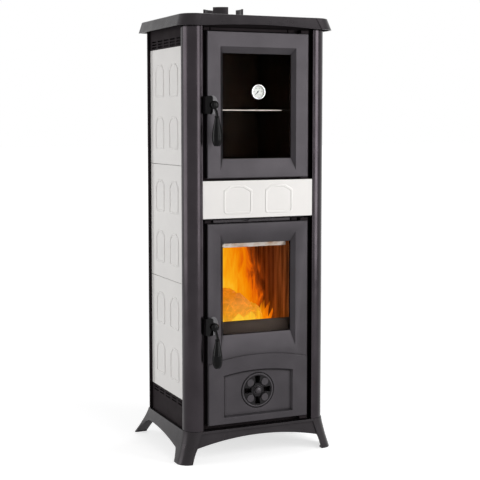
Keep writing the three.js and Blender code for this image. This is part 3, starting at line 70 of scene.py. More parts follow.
CAMERA_PLACE = (-1.3959, -3.1616, 0.9934)
CAMERA_YAW = 24.10  # to the right of +Y
CAMERA_PITCH = -4.99
CAMERA_LENS = 84.6
CAMERA_SENSOR = 36
CAMERA_SHIFT = -0.04
CAMERA_NEAR, CAMERA_FAR = 0.05, 100


def add_camera():
    data = bpy.data.cameras.new("camera")
    data.lens = CAMERA_LENS
    data.sensor_width = CAMERA_SENSOR
    data.shift_y = CAMERA_SHIFT
    data.clip_start = CAMERA_NEAR
    data.clip_end = CAMERA_FAR
    camera = bpy.data.objects.new("camera", data)
    camera.location = CAMERA_PLACE
    camera.rotation_euler = (math.radians(90 + CAMERA_PITCH), 0, -math.radians(CAMERA_YAW))
    bpy.context.scene.collection.objects.link(camera)
    bpy.context.scene.camera = camera


LAMPS = (
    # name, degrees to the left of the front, distance, foot, top, width and glow
    ("right_softbox", -43, 3.0, 0.15, 2.7, 1.2, 5.6),
    ("front_softbox", -6, 3.0, 0.15, 2.7, 0.9, 4.0),
    ("left_softbox", 106, 2.9, 0.1, 2.3, 1.9, 2.9),
    ("top_softbox", -105, 1.1, 2.6, 3.8, 1.2, 3.2),
)
LAMPS_AIM = (0, 0, 0.8)


def add_softbox(name, side, distance, low, high, width, glow):
    """A tall soft lamp that faces the stove. Its glow is the brightness that gloss shows."""
    turn = math.radians(side)
    height = high - low
    data = bpy.data.lights.new(name, "AREA")
    data.shape = "RECTANGLE"
    data.size = width
    data.size_y = height
    data.energy = glow * math.pi * width * height
    lamp = bpy.data.objects.new(name, data)
    place = (-distance * math.sin(turn), -distance * math.cos(turn), (low + high) / 2)
    way = Vector(LAMPS_AIM) - Vector(place)
    lamp.location = place
    lamp.rotation_euler = way.to_track_quat("-Z", "Y").to_euler()
    bpy.context.scene.collection.objects.link(lamp)


NOISE_SPAN = (0.3, 0.7)  # most of a noise texture's values lie between these
BEVEL_SAMPLES = 4
BEVEL_SPAN = (0.995, 0.8)  # from a face's own normal to one rounded over its edge
CREASE_SAMPLES = 6
CREASE_SPAN = (0.55, 0.98)  # from a tight corner to open ground
# the colour of the painted shade in grooves and corners
CREASE_SHADE = (0.004, 0.0035, 0.0035)


class Finish:
    """A procedural material: nodes round one Principled shader."""

    def __init__(self, name):
        self.material = bpy.data.materials.new(name)
        self.material.use_nodes = True
        self.tree = self.material.node_tree
        self.shader = self.tree.nodes["Principled BSDF"]
        self.output = self.tree.nodes["Material Output"]
        self.place = self.add("TexCoord").outputs["Object"]

    def fill(self, node, inputs):
        for name, value in inputs.items():
            socket = node.inputs[name if isinstance(name, int) else name.replace("_", " ")]
            if isinstance(value, bpy.types.NodeSocket):
                self.tree.links.new(value, socket)
            else:
                socket.default_value = value

    def add(self, kind, settings=None, inputs=None):
        node = self.tree.nodes.new("ShaderNode" + kind)
        for name, value in (settings or {}).items():
            setattr(node, name, value)
        self.fill(node, inputs or {})
        return node

    def stretched(self, scale):
        return self.add("Mapping", inputs={"Vector": self.place, "Scale": scale}).outputs[0]

    def noise(self, scale, detail=3.0, rough=0.5, place=None, distortion=0.0):
        values = {"Vector": place or self.place, "Scale": scale, "Detail": detail}
        values |= {"Roughness": rough, "Distortion": distortion}
        return self.add("TexNoise", inputs=values).outputs["Fac"]

    def ramp(self, value, *stops):
        node = self.add("ValToRGB", inputs={0: value})
        band = node.color_ramp
        while len(band.elements) < len(stops):
            band.elements.new(0.5)
        for element, (at, colour) in zip(band.elements, stops):
            element.position = at
            element.color = (*colour, 1)
        return node.outputs[0]

    def range(self, value, low, high, start=0.0, end=1.0):
        inputs = {"Value": value, 1: low, 2: high, 3: start, 4: end}
        return self.add("MapRange", inputs=inputs).outputs[0]

    def math(self, kind, a, b):
        return self.add("Math", {"operation": kind}, {0: a, 1: b}).outputs[0]

    def mix(self, share, a, b):
        """One colour over another. Each is a socket, or three numbers."""
        inputs = {0: share}
        for socket, colour in ((6, a), (7, b)):
            inputs[socket] = colour if isinstance(colour, bpy.types.NodeSocket) else (*colour, 1)
        return self.add("Mix", {"data_type": "RGBA"}, inputs).outputs[2]

    def bump(self, height, strength, depth, normal=None):
        inputs = {"Height": height, "Strength": strength, "Distance": depth}
        if normal:
            inputs["Normal"] = normal
        return self.add("Bump", inputs=inputs).outputs[0]

    def edges(self, radius):
        """1 along the edges of the piece, 0 on its faces, and the normal rounded over them."""
        soft = self.add("Bevel", {"samples": BEVEL_SAMPLES}, {"Radius": radius}).outputs[0]
        true = self.add("NewGeometry").outputs["Normal"]
        likeness = self.add("VectorMath", {"operation": "DOT_PRODUCT"}, {0: soft, 1: true})
        return self.range(likeness.outputs["Value"], *BEVEL_SPAN), soft

    def creases(self, base, reach, depth):
        """The colour, darker in the piece's own grooves and corners, as painted shade."""
        settings = {"samples": CREASE_SAMPLES, "only_local": True}
        open_sky = self.add("AmbientOcclusion", settings, {"Distance": reach}).outputs["AO"]
        return self.mix(self.range(open_sky, *CREASE_SPAN, depth, 0.0), base, CREASE_SHADE)

    def finish(self, **shader):
        self.fill(self.shader, shader)
        return self.material


def srgb(red, green, blue):
    """A colour written as it is seen, 0 to 255, as the linear one that nodes hold."""
    def linear(value):
        value /= 255
        return value / 12.92 if value <= 0.04045 else ((value + 0.055) / 1.055) ** 2.4
    return tuple(linear(value) for value in (red, green, blue))


def shade(colour, factor):
    return tuple(value * factor for value in colour)


def seen_rays(made):
    """1 for what the camera sees itself, in gloss or through glass."""
    path = made.add("LightPath").outputs
    seen = made.math("MAXIMUM", path["Is Camera Ray"], path["Is Glossy Ray"])
    return made.math("MAXIMUM", seen, path["Is Transmission Ray"])


FLOOR_REACH = 40
FLOOR_GREYS = ((0.6, 0.6, 0.6), (0.62, 0.62, 0.62))
FLOOR_NEAR, FLOOR_FAR = 1.0, 7.0  # between these, its glow rises from the first to the second
FLOOR_GLOW = (0.68, 0.97)
WORLD_LIGHT = 0.25
WORLD_SEEN = 1.0


def add_floor():
    """A pale floor that keeps the stove's shadow and runs out into a white room."""
    made = Finish("studio_floor")
    grain = made.noise(2.2, 4)
    colour = made.mix(grain, *FLOOR_GREYS)
    glow = made.add("Emission", inputs={"Color": (1, 1, 1, 1)})
    way = made.add("VectorMath", {"operation": "LENGTH"}, {0: made.place}).outputs["Value"]
    rise = made.range(way, FLOOR_NEAR, FLOOR_FAR, *FLOOR_GLOW)
    made.fill(glow, {"Strength": made.math("MULTIPLY", seen_rays(made), rise)})
    made.finish(Base_Color=colour, Roughness=0.9, Specular_IOR_Level=0.0)
    both = made.add("AddShader", inputs={0: made.shader.outputs[0], 1: glow.outputs[0]})
    made.tree.links.new(both.outputs[0], made.output.inputs["Surface"])
    mesh = bpy.data.meshes.new("studio_floor")
    far = FLOOR_REACH
    corners = [(-far, -far, 0), (far, -far, 0), (far, far, 0), (-far, far, 0)]
    mesh.from_pydata(corners, [], [(0, 1, 2, 3)])
    floor = bpy.data.objects.new("studio_floor", mesh)
    bpy.context.scene.collection.objects.link(floor)
    mesh.materials.append(made.material)


def add_world():
    world = bpy.data.worlds.new("studio")
    bpy.context.scene.world = world
    world.use_nodes = True
    tree = world.node_tree
    path = tree.nodes.new("ShaderNodeLightPath").outputs
    seen = path["Is Camera Ray"]
    for name in ("Is Glossy Ray", "Is Transmission Ray"):
        both = tree.nodes.new("ShaderNodeMath")
        both.operation = "MAXIMUM"
        tree.links.new(seen, both.inputs[0])
        tree.links.new(path[name], both.inputs[1])
        seen = both.outputs[0]
    strength = tree.nodes.new("ShaderNodeMapRange")
    strength.inputs["To Min"].default_value = WORLD_LIGHT
    strength.inputs["To Max"].default_value = WORLD_SEEN
    tree.links.new(seen, strength.inputs["Value"])
    back = tree.nodes["Background"]
    back.inputs["Color"].default_value = (1, 1, 1, 1)
    tree.links.new(strength.outputs[0], back.inputs["Strength"])


# ---------------------------------------------------------------- materials

PAINT_EDGE = 1.1 * MM  # how far from an edge it is rubbed or softened
PAINT_CREASE = 9 * MM  # how far it looks for a corner to darken with painted shade
PAINT_CREASE_DEPTH = 0.85
GROUND_SPAN = (0.7, 0.2)  # millimetres in front of a relief's ground: fully lit, then in painted shade
# how far from an edge the glaze's painted highlight and rounding reach
GLAZE_HIGHLIGHT_EDGE = 1.6 * MM
PLATED_EDGE = 0.5 * MM
BRUSHED_EDGE = 0.4 * MM
EMBER_LOW, EMBER_HIGH = 370 * MM, 480 * MM  # z, from the yellowest glow to the reddest


def painted(name, colour, rough, metal, grain, depth, gloss=0.35, wear=1.7, ground=None):
    """Heat-proof paint over iron or steel: a fine grain, soft blotches, paler rubbed edges and
    painted shade in its grooves and corners.

    The grain's depth is in metres. Wear is how much paler its edges are. A ground, in millimetres
    of y, is the level of a relief's lower face, which is darkened as painted shade.
    """
    made = Finish(name)
    blotch = made.range(made.noise(11, 5), *NOISE_SPAN)
    base = made.mix(blotch, shade(colour, 0.86), shade(colour, 1.12))
    speck = made.range(made.noise(1500, 2), 0.6, 0.75)
    base = made.mix(made.math("MULTIPLY", speck, 0.25), base, shade(colour, 1.8))
    edge, soft = made.edges(PAINT_EDGE)
    rub = made.math("MULTIPLY", edge, made.range(made.noise(60, 4), 0.35, 0.65, 0.25, 0.9))
    base = made.mix(rub, base, shade(colour, wear))
    # painted shade in the piece's own grooves and corners
    base = made.creases(base, PAINT_CREASE, PAINT_CREASE_DEPTH)
    if ground is not None:
        level = made.add("SeparateXYZ", inputs={0: made.place}).outputs["Y"]
        lit_level, shaded_level = ((ground - ahead) * MM for ahead in GROUND_SPAN)
        # painted shade: the relief's lower face darkens towards black
        ground_shade = made.range(level, lit_level, shaded_level, 0.0, 0.85)
        base = made.mix(ground_shade, base, srgb(9, 8, 9))
    fine = made.noise(grain, 4, 0.6)
    coarse = made.noise(grain / 9, 3)
    height = made.math("ADD", fine, made.math("MULTIPLY", coarse, 1.5))
    return made.finish(
        Base_Color=base,
        Roughness=made.range(made.noise(26, 4), *NOISE_SPAN, rough - 0.05, rough + 0.07),
        Normal=made.bump(height, 0.5, depth, soft),
        Metallic=metal,
        Specular_IOR_Level=gloss,
    )


def glazed(name, colour):
    """White glaze: glossy, faintly wavy and pitted, with a painted highlight, whiter, over the
    edges and ridges.
    """
    made = Finish(name)
    cloud = made.range(made.noise(9, 4), *NOISE_SPAN)
    base = made.mix(cloud, shade(colour, 0.955), colour)
    edge, soft = made.edges(GLAZE_HIGHLIGHT_EDGE)
    # painted highlight: edges and ridges mixed towards near white
    base = made.mix(made.math("MULTIPLY", edge, 0.7), base, srgb(250, 248, 244))
    pit = made.range(made.noise(900, 1), 0.76, 0.8)
    base = made.mix(made.math("MULTIPLY", pit, 0.3), base, srgb(150, 140, 128))
    return made.finish(
        Base_Color=base,
        Roughness=made.range(made.noise(14, 3), *NOISE_SPAN, 0.12, 0.2),
        Normal=made.bump(made.noise(26, 2, 0.4), 0.25, 0.6 * MM, soft),
        Coat_Weight=0.12,
        Coat_Roughness=0.06,
    )


def enamelled(name, colour):
    """Dull oven enamel with a brown haze that baking has left."""
    made = Finish(name)
    haze = made.range(made.noise(13, 2), 0.4, 0.7, 0, 0.5)
    base = made.mix(haze, colour, srgb(44, 26, 16))
    return made.finish(
        Base_Color=base,
        Roughness=made.range(made.noise(20, 3), *NOISE_SPAN, 0.4, 0.55),
        Specular_IOR_Level=0.12,
        Normal=made.bump(made.noise(34, 2), 0.12, 0.3 * MM),
    )


def fired_clay(name, colour):
    """Firebrick: sandy, with upright streaks blackened by smoke."""
    made = Finish(name)
    sand = made.noise(900, 3, 0.7)
    base = made.mix(made.range(sand, 0.35, 0.65), shade(colour, 0.7), shade(colour, 1.15))
    streak = made.noise(1.0, 4, 0.6, made.stretched((55, 55, 4)))
    base = made.mix(made.range(streak, 0.35, 0.65, 0.1, 0.9), base, srgb(40, 24, 14))
    return made.finish(
        Base_Color=base,
        Roughness=0.95,
        Specular_IOR_Level=0.1,
        Normal=made.bump(made.math("ADD", sand, made.noise(90, 4)), 0.8, 0.8 * MM),
    )


def braided(name, colour):
    """Glass-fibre rope: a slanting weave, stained in patches."""
    made = Finish(name)
    weave = made.add("TexWave", {"wave_type": "BANDS", "bands_direction": "DIAGONAL"})
    made.fill(weave, {"Vector": made.place, "Scale": 190.0, "Distortion": 3.0, "Detail": 2.0})
    lay = weave.outputs["Fac"]
    base = made.mix(lay, shade(colour, 0.45), shade(colour, 1.2))
    stain = made.range(made.noise(24, 3), 0.4, 0.7)
    return made.finish(
        Base_Color=made.mix(stain, base, shade(colour, 0.5)),
        Roughness=0.95,
        Sheen_Weight=0.3,
        Normal=made.bump(lay, 0.9, 1.0 * MM),
    )


def glass(name, tint, smoke, bend):
    """Clear glass with a patchy film of smoke. A bend of 1 keeps the room's reflection off it."""
    made = Finish(name)
    film = made.range(made.noise(5, 2, 0.4), 0.3, 0.8, 0.0, smoke)
    base = made.mix(film, tint, srgb(120, 84, 56))
    return made.finish(
        Base_Color=base,
        Roughness=made.range(film, 0.0, 1.0, 0.0, 0.04),
        Transmission_Weight=1.0,
        IOR=bend,
    )


def polished(name, colour, rough):
    """Plated metal with fine wipe marks and finger haze."""
    made = Finish(name)
    wipe = made.noise(60, 3, 0.6, made.stretched((1, 1, 9)))
    haze = made.range(made.noise(45, 4), 0.4, 0.75)
    base = made.mix(haze, colour, shade(colour, 0.82))
    _, soft = made.edges(PLATED_EDGE)
    return made.finish(
        Base_Color=base,
        Roughness=made.range(haze, 0.0, 1.0, rough, rough + 0.12),
        Metallic=1.0,
        Normal=made.bump(wipe, 0.06, 0.1 * MM, soft),
    )


def brushed(name, colour):
    """Bare steel, brushed sideways and tinted by heat."""
    made = Finish(name)
    lines = made.noise(300, 3, 0.6, made.stretched((0.03, 1, 1)))
    tint = made.range(made.noise(30, 4), 0.4, 0.7)
    base = made.mix(tint, colour, shade(srgb(150, 120, 96), 0.9))
    base = made.mix(made.range(lines, 0.35, 0.65, 0, 0.4), base, shade(colour, 0.6))
    _, soft = made.edges(BRUSHED_EDGE)
    return made.finish(
        Base_Color=base,
        Roughness=made.range(lines, *NOISE_SPAN, 0.25, 0.42),
        Metallic=1.0,
        Normal=made.bump(lines, 0.25, 0.1 * MM, soft),
    )


def moulded(name, colour):
    """A glossy black surface with fine scuffs."""
    made = Finish(name)
    scuff = made.noise(130, 5, 0.7, made.stretched((1, 1, 0.25)))
    worn = made.range(scuff, 0.62, 0.72)
    base = made.mix(made.math("MULTIPLY", worn, 0.4), colour, srgb(34, 32, 33))
    return made.finish(
        Base_Color=base,
        Roughness=made.range(scuff, 0.3, 0.75, 0.04, 0.15),
        Specular_IOR_Level=0.1,
        Normal=made.bump(made.noise(80, 2), 0.08, 0.2 * MM),
    )


def printed(name, colour, other, rough):
    """A flat print or card that has aged from one colour towards another."""
    made = Finish(name)
    age = made.range(made.noise(160, 4), 0.4, 0.8, 0, 0.35)
    return made.finish(
        Base_Color=made.mix(age, colour, other),
        Roughness=made.range(made.noise(300, 2), *NOISE_SPAN, rough - 0.08, rough + 0.08),
        Normal=made.bump(made.noise(900, 2), 0.1, 0.05 * MM),
    )


def charred(name):
    """Split logs in the fire: grain, charcoal cracks, and an orange glow in them."""
    made = Finish(name)
    grain = made.noise(1.0, 5, 0.6, made.stretched((70, 9, 70)))
    base = made.ramp(
        grain,
        (0.3, srgb(38, 20, 10)),
        (0.55, srgb(96, 52, 24)),
        (0.75, srgb(150, 90, 40)),
    )
    cells = {"Vector": made.place, "Scale": 48.0}
    crack = made.add("TexVoronoi", {"feature": "DISTANCE_TO_EDGE"}, cells).outputs[0]
    gap = made.range(crack, 0.0, 0.1, 1.0, 0.0)
    heat = made.math("MULTIPLY", gap, made.range(made.noise(16, 3), 0.4, 0.62))
    fibre = made.range(grain, 0.2, 0.8, 0.72, 1.05)
    glow = made.math("ADD", made.math("MULTIPLY", heat, 0.3), fibre)
    level = made.add("SeparateXYZ", inputs={0: made.place}).outputs["Z"]
    return made.finish(
        Base_Color=base,
        Roughness=0.9,
        Emission_Color=made.ramp(
            made.range(level, EMBER_LOW, EMBER_HIGH),
            (0.0, srgb(255, 206, 70)),
            (0.4, srgb(246, 166, 26)),
            (1.0, srgb(226, 128, 14)),
        ),
        Emission_Strength=glow,
        Normal=made.bump(grain, 0.9, 2 * MM),
    )


def burning(name):
    """Flame: pale yellow on the left and low down, through orange, to nothing on the right."""
    made = Finish(name)
    axes = made.add("SeparateXYZ", inputs={0: made.place}).outputs
    streak = made.noise(1.0, 4, 0.55, made.stretched((34, 34, 5)), 0.5)
    wisp = made.noise(1.0, 3, 0.5, made.stretched((90, 90, 16)), 0.8)
    heat = made.range(axes["X"], -60 * MM, 120 * MM, -0.05, 0.98)
    heat = made.math("ADD", heat, made.range(axes["Z"], 330 * MM, 650 * MM, -0.16, 0.1))
    tongue = made.range(axes["Y"], -80 * MM, -40 * MM, 1.0, 0.0)
    heat = made.math("ADD", heat, made.math("MULTIPLY", tongue, -0.12))
    heat = made.math("ADD", heat, made.range(streak, 0.25, 0.75, -0.2, 0.2))
    heat = made.math("ADD", heat, made.range(wisp, *NOISE_SPAN, -0.06, 0.06))
    rise = made.math("ADD", axes["Z"], made.range(wisp, *NOISE_SPAN, -12 * MM, 12 * MM))
    lick = made.math("MULTIPLY", tongue, made.range(rise, 400 * MM, 462 * MM))
    tip = made.math("SUBTRACT", 1.0, lick)
    colour = made.ramp(
        heat,
        (0.0, srgb(255, 204, 60)),
        (0.2, srgb(252, 176, 26)),
        (0.45, srgb(244, 136, 4)),
        (0.66, srgb(222, 96, 8)),
        (0.8, srgb(150, 62, 14)),
        (0.95, srgb(90, 38, 14)),
    )
    return made.finish(
        Base_Color=(0, 0, 0, 1),
        Roughness=1.0,
        Specular_IOR_Level=0.0,
        Emission_Color=colour,
        Emission_Strength=1.12,
        Alpha=made.math("MULTIPLY", made.range(heat, 0.68, 1.0, 1.0, 0.0), tip),
    )


def add_materials():
    """The finishes by slot, and those that LOOKS names."""
    return {
        "cast_iron": painted("cast_iron_paint", srgb(60, 57, 60), rough=0.38, metal=0.75,
                             grain=1100, depth=0.2 * MM, gloss=0.3),
        "rosette_iron": painted("rosette_paint", srgb(62, 59, 62), rough=0.34, metal=0.7,
                                grain=900, depth=0.3 * MM, wear=3.6, ground=-169.4),
        "column_steel": painted("column_paint", srgb(54, 50, 53), rough=0.19, metal=1.0,
                                grain=1700, depth=0.006 * MM, gloss=0.3),
        "dark_steel": painted("dark_paint", srgb(38, 33, 35), rough=0.6, metal=0.0,
                              grain=1500, depth=0.12 * MM, gloss=0.03),
        "rose_grey": painted("rose_paint", srgb(92, 90, 93), rough=0.3, metal=0.0,
                             grain=1300, depth=0.08 * MM, gloss=0.6, wear=2.4),
        # a darker copy of the cast-iron paint: painted shade
        "shade_darkened_iron": painted("shade_darkened_iron", srgb(48, 45, 47), rough=0.3, metal=0.85,
                             grain=1100, depth=0.18 * MM, gloss=0.3, wear=2.2),
        "sooted_iron": painted("sooted_iron", srgb(60, 54, 52), rough=0.7, metal=0.0,
                               grain=900, depth=0.3 * MM, gloss=0.05),
        "oven_enamel": enamelled("oven_enamel", srgb(26, 16, 11)),
        "tile_glaze": glazed("white_glaze", srgb(233, 230, 227)),
        "fireclay": fired_clay("firebrick", srgb(196, 130, 80)),
        "rope_seal": braided("rope", srgb(148, 143, 136)),
        "door_glass": glass("door_glass", srgb(244, 240, 234), smoke=0.15, bend=1.0),
        "lens_glass": glass("lens_glass", srgb(250, 252, 252), smoke=0.02, bend=1.14),
        "chrome": polished("chrome", srgb(226, 226, 229), rough=0.05),
        "lever_black": moulded("black_enamel", srgb(10, 9, 10)),
        "grip_black": moulded("black_grip", srgb(5, 5, 6)),
        "bare_steel": brushed("bare_steel", srgb(172, 172, 175)),
        "dial_white": printed("dial_face", srgb(218, 217, 213), srgb(204, 198, 184), rough=0.6),
        "needle_black": printed("black_print", srgb(22, 21, 22), srgb(44, 42, 42), rough=0.45),
        "embers": charred("charred_wood"),
        "flames": burning("flame_glow"),
    }


slot_of = {part["node"]: part["material_slot"] for part in frame["record"]["subparts"]}
finishes = add_materials()


def dress_nodes():
    for name, item in nodes.items():
        item.data.materials.clear()
        item.data.materials.append(finishes[slot_of[name]])


# ---------------------------------------------------------------- mesh tools

SAME_PLACE = 1e-5  # corners nearer than this become one
FLAT_ANGLE = 0.5  # degrees over an edge that is left out
SHARP_ANGLE = 32  # degrees over an edge that is rounded
RIM_ANGLE = 70  # degrees over an edge inside a rounding that still shades smooth


def body_of(node):
    return nodes[node]["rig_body"]


def smooth_by_angle(made, degrees, rims=()):
    """Smooth shading over the flatter edges. The faces beside rims, the eased edges, stay flat."""
    limit = math.radians(degrees)
    rim_limit = math.radians(RIM_ANGLE)
    for face in made.faces:
        face.smooth = True
    for edge in made.edges:
        sides = [face in rims for face in edge.link_faces]
        edge.smooth = len(sides) == 2 and sides[0] == sides[1] and (
            edge.calc_face_angle(0) < (rim_limit if sides[0] else limit))


def add_piece(name, made, stands_for=(), slot=None, body=None, angle=35, look=None, rims=()):
    """Turns a bmesh into a piece that rides with a body and stands for some of the solids."""
    bmesh.ops.recalc_face_normals(made, faces=made.faces)
    smooth_by_angle(made, angle, rims)
    mesh = bpy.data.meshes.new(name)
    made.to_mesh(mesh)
    made.free()
    item = bpy.data.objects.new(name, mesh)
    bpy.context.scene.collection.objects.link(item)
    slot = slot or slot_of[stands_for[0]]
    mesh.materials.append(finishes[look or slot])
    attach(item, body or body_of(stands_for[0]))
    if stands_for:
        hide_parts(*stands_for)


def add_eased(node, width, segments=2, angle=35):
    """The solid with its sharp edges rounded by so many millimetres, as paint leaves them."""
    made = bmesh.new()
    made.from_mesh(nodes[node].data)
    bmesh.ops.remove_doubles(made, verts=made.verts, dist=SAME_PLACE)
    bmesh.ops.dissolve_limit(
        made, angle_limit=math.radians(FLAT_ANGLE), verts=made.verts, edges=made.edges)
    rims = ()
    if width:
        sharp = [edge for edge in made.edges
                 if len(edge.link_faces) == 2
                 and edge.calc_face_angle(0) > math.radians(SHARP_ANGLE)]
        cut = bmesh.ops.bevel(
            made, geom=sharp, offset=width * MM, segments=segments, profile=0.5, affect="EDGES")
        rims = set(cut["faces"])
    add_piece("skin_" + node, made, [node], angle=angle, look=LOOKS.get(node), rims=rims)


def ring_of(radius, steps, along, across, centre):
    """Points round a circle that lies in two given directions."""
    turns = [2 * math.pi * i / steps for i in range(steps)]
    return [centre + along * (radius * math.cos(t)) + across * (radius * math.sin(t))
            for t in turns]


def skinned(made, rings, closed=False):
    """Faces between rings of as many points each, and a face over each end unless they close."""
    rows = [[made.verts.new(p) for p in ring] for ring in rings]
    count = len(rows[0])
    pairs = list(zip(rows, rows[1:]))
    if closed:
        pairs.append((rows[-1], rows[0]))
    for low, high in pairs:
        for i in range(count):
            k = (i + 1) % count
            made.faces.new((low[i], low[k], high[k], high[i]))
    if not closed:
        made.faces.new(reversed(rows[0]))
        made.faces.new(rows[-1])


def turned(made, profile, centre, axis, steps=64):
    """A profile of (radius, way along the axis) turned round it. A radius of 0 closes an end."""
    axis = Vector(axis)
    along = axis.orthogonal().normalized()
    across = axis.cross(along)
    skinned(made, [
        ring_of(max(radius, SAME_PLACE), steps, along, across, Vector(centre) + axis * way)
        for radius, way in profile])


ROUNDED_SHARE = 0.45  # the most of a side that an arc takes


def rounded(profile, reach, steps=4):
    """The same profile with each corner between its ends turned into a small arc."""
    out = [profile[0]]
    for before, corner, after in zip(profile, profile[1:], profile[2:]):
        a, b, c = Vector(before), Vector(corner), Vector(after)
        cut = min(reach, (a - b).length * ROUNDED_SHARE, (c - b).length * ROUNDED_SHARE)
        start, end = b + (a - b).normalized() * cut, b + (c - b).normalized() * cut
        for i in range(steps + 1):
            t = i / steps
            out.append(tuple(start * (1 - t) ** 2 + b * (2 * t * (1 - t)) + end * t ** 2))
    return [*out, profile[-1]]


def curve_through(points, steps):
    """A smooth line through points of any dimension."""
    points = [Vector(p) for p in points]
    ends = [2 * points[0] - points[1], *points, 2 * points[-1] - points[-2]]
    line = []
    for p, q, r, s in zip(ends, ends[1:], ends[2:], ends[3:]):
        for i in range(steps):
            t = i / steps
            line.append(0.5 * (2 * q + (r - p) * t + (2 * p - 5 * q + 4 * r - s) * t ** 2
                               + (3 * q - p - 3 * r + s) * t ** 3))
    return [*line, points[-1]]


def middle_and_size(node):
    low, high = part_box(node)
    return (low + high) / 2, high - low


def millimetres(profile):
    return [(radius * MM, way * MM) for radius, way in profile]


# ---------------------------------------------------------------- columns

COLUMN_RADIUS = 40 * MM
COLUMN_WALL = 3 * MM
COLUMN_RETURN = 24 * MM
COLUMN_FLANGE = 18 * MM
COLUMN_EASE = 1.2 * MM
COLUMN_STEPS = 24


def column_section(low, high):
    """The right-hand column's outline, seen from above: a rolled front edge and folded flanges."""
    inner, outer = low.x, high.x
    front, back = low.y, high.y
    wall = COLUMN_WALL
    turn = (outer - COLUMN_RADIUS, front + COLUMN_RADIUS)
    outline = [(inner + wall, front + COLUMN_RETURN), (inner, front + COLUMN_RETURN)]
    outline += [(inner + COLUMN_EASE * (1 - math.cos(a)), front + COLUMN_EASE * (1 - math.sin(a)))
                for a in (0, math.pi / 6, math.pi / 3, math.pi / 2)]
    arc = [-math.pi / 2 + math.pi / 2 * i / COLUMN_STEPS for i in range(COLUMN_STEPS + 1)]

    def bend(radius, angles):
        return [(turn[0] + radius * math.cos(a), turn[1] + radius * math.sin(a)) for a in angles]

    outline += bend(COLUMN_RADIUS, arc)
    outline += [(outer, back - COLUMN_EASE), (outer - COLUMN_EASE, back)]
    outline += [(outer - COLUMN_FLANGE, back), (outer - COLUMN_FLANGE, back - wall)]
    outline += [(outer - wall, back - wall)]
    outline += bend(COLUMN_RADIUS - wall, reversed(arc))
    return [*outline, (inner + wall, front + wall)]


def add_columns():
    low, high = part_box("column_right")
    for side, name in ((1, "column_right"), (-1, "column_left")):
        made = bmesh.new()
        outline = [(side * x, y) for x, y in column_section(low, high)]
        skinned(made, [[Vector((x, y, z)) for x, y in outline] for z in (low.z, high.z)])
        add_piece("rolled_" + name, made, [name], angle=40)


# ---------------------------------------------------------------- handles

GRIP_SHAPE = (
    # way down it as a share of its length, and its radius as a share of the greatest
    (0, 0.445), (0.06, 0.5), (0.15, 0.59), (0.27, 0.72), (0.4, 0.86), (0.53, 0.96), (0.66, 1.0),
    (0.78, 0.97), (0.88, 0.87), (0.95, 0.72), (1, 0.5),
)
GRIP_STEPS = 5
GRIP_SIDES = 48
GRIP_TOP_IN, GRIP_TOP_DOWN = 0.8 * MM, 0.6 * MM  # the slope at its upper rim
GRIP_FOOT = 0.6  # flat of its foot, as a share of the radius there
GRIP_EASE = 0.8 * MM
ROSE_PROFILE = ((0, 0.9), (0.3, 0.3), (1.1, 0), (2.4, 0), (3.0, 0.4), (6, 0.4))
ROSE_DISH = 0.4
ROSE_STEPS = 48
ROSE_SCREW = ((0, -0.3), (2.6, -0.3), (2.9, 0.2))
ROSE_SCREW_EASE = 0.2
ROSE_SCREW_SIDES = 20
ROSE_SCREW_ACROSS, ROSE_SCREW_UP = 0.25, 0.76  # place, as shares of half the plate


def add_grip(door):
    """A drop-shaped grip, turned round the upright stem."""
    node = door + "_handle_grip"
    middle, size = middle_and_size(node)
    top = (middle.x, middle.y, middle.z + size.z / 2)
    shape = [(way * size.z, radius * size.x / 2) for way, radius in GRIP_SHAPE]
    line = curve_through(shape, GRIP_STEPS)
    neck = line[0][1]
    profile = [(0, 0), (neck - GRIP_TOP_IN, 0), (neck, GRIP_TOP_DOWN)]
    profile += [(radius, way) for way, radius in line[1:]]
    profile += [(profile[-1][0] * GRIP_FOOT, size.z)]
    profile = [(radius, min(way, size.z)) for radius, way in profile]
    made = bmesh.new()
    turned(made, [*rounded(profile, GRIP_EASE, 3), (0, size.z)], top, (0, 0, -1), GRIP_SIDES)
    add_piece("turned_" + node, made, [node], angle=60)


def add_rose(door):
    """The oval plate behind the lever, with a softened rim and two countersunk screws."""
    node = door + "_handle_rose"
    low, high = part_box(node)
    middle = (low + high) / 2
    half = (high - low) / 2
    levels = [(0, high.y)] + [(inset * MM, low.y + down * MM) for inset, down in ROSE_PROFILE]
    turns = [2 * math.pi * i / ROSE_STEPS for i in range(ROSE_STEPS)]
    made = bmesh.new()
    skinned(made, [
        [Vector((middle.x + (half.x - inset) * math.cos(t), y,
                 middle.z + (half.z - inset) * math.sin(t))) for t in turns]
        for inset, y in levels])
    screw = rounded(millimetres(ROSE_SCREW), ROSE_SCREW_EASE * MM)
    for side in (-1, 1):
        place = (middle.x + half.x * ROSE_SCREW_ACROSS, low.y + ROSE_DISH * MM,
                 middle.z + side * half.z * ROSE_SCREW_UP)
        turned(made, screw, place, (0, 1, 0), ROSE_SCREW_SIDES)
    add_piece("plate_" + node, made, [node], angle=40)


# ---------------------------------------------------------------- thermometer

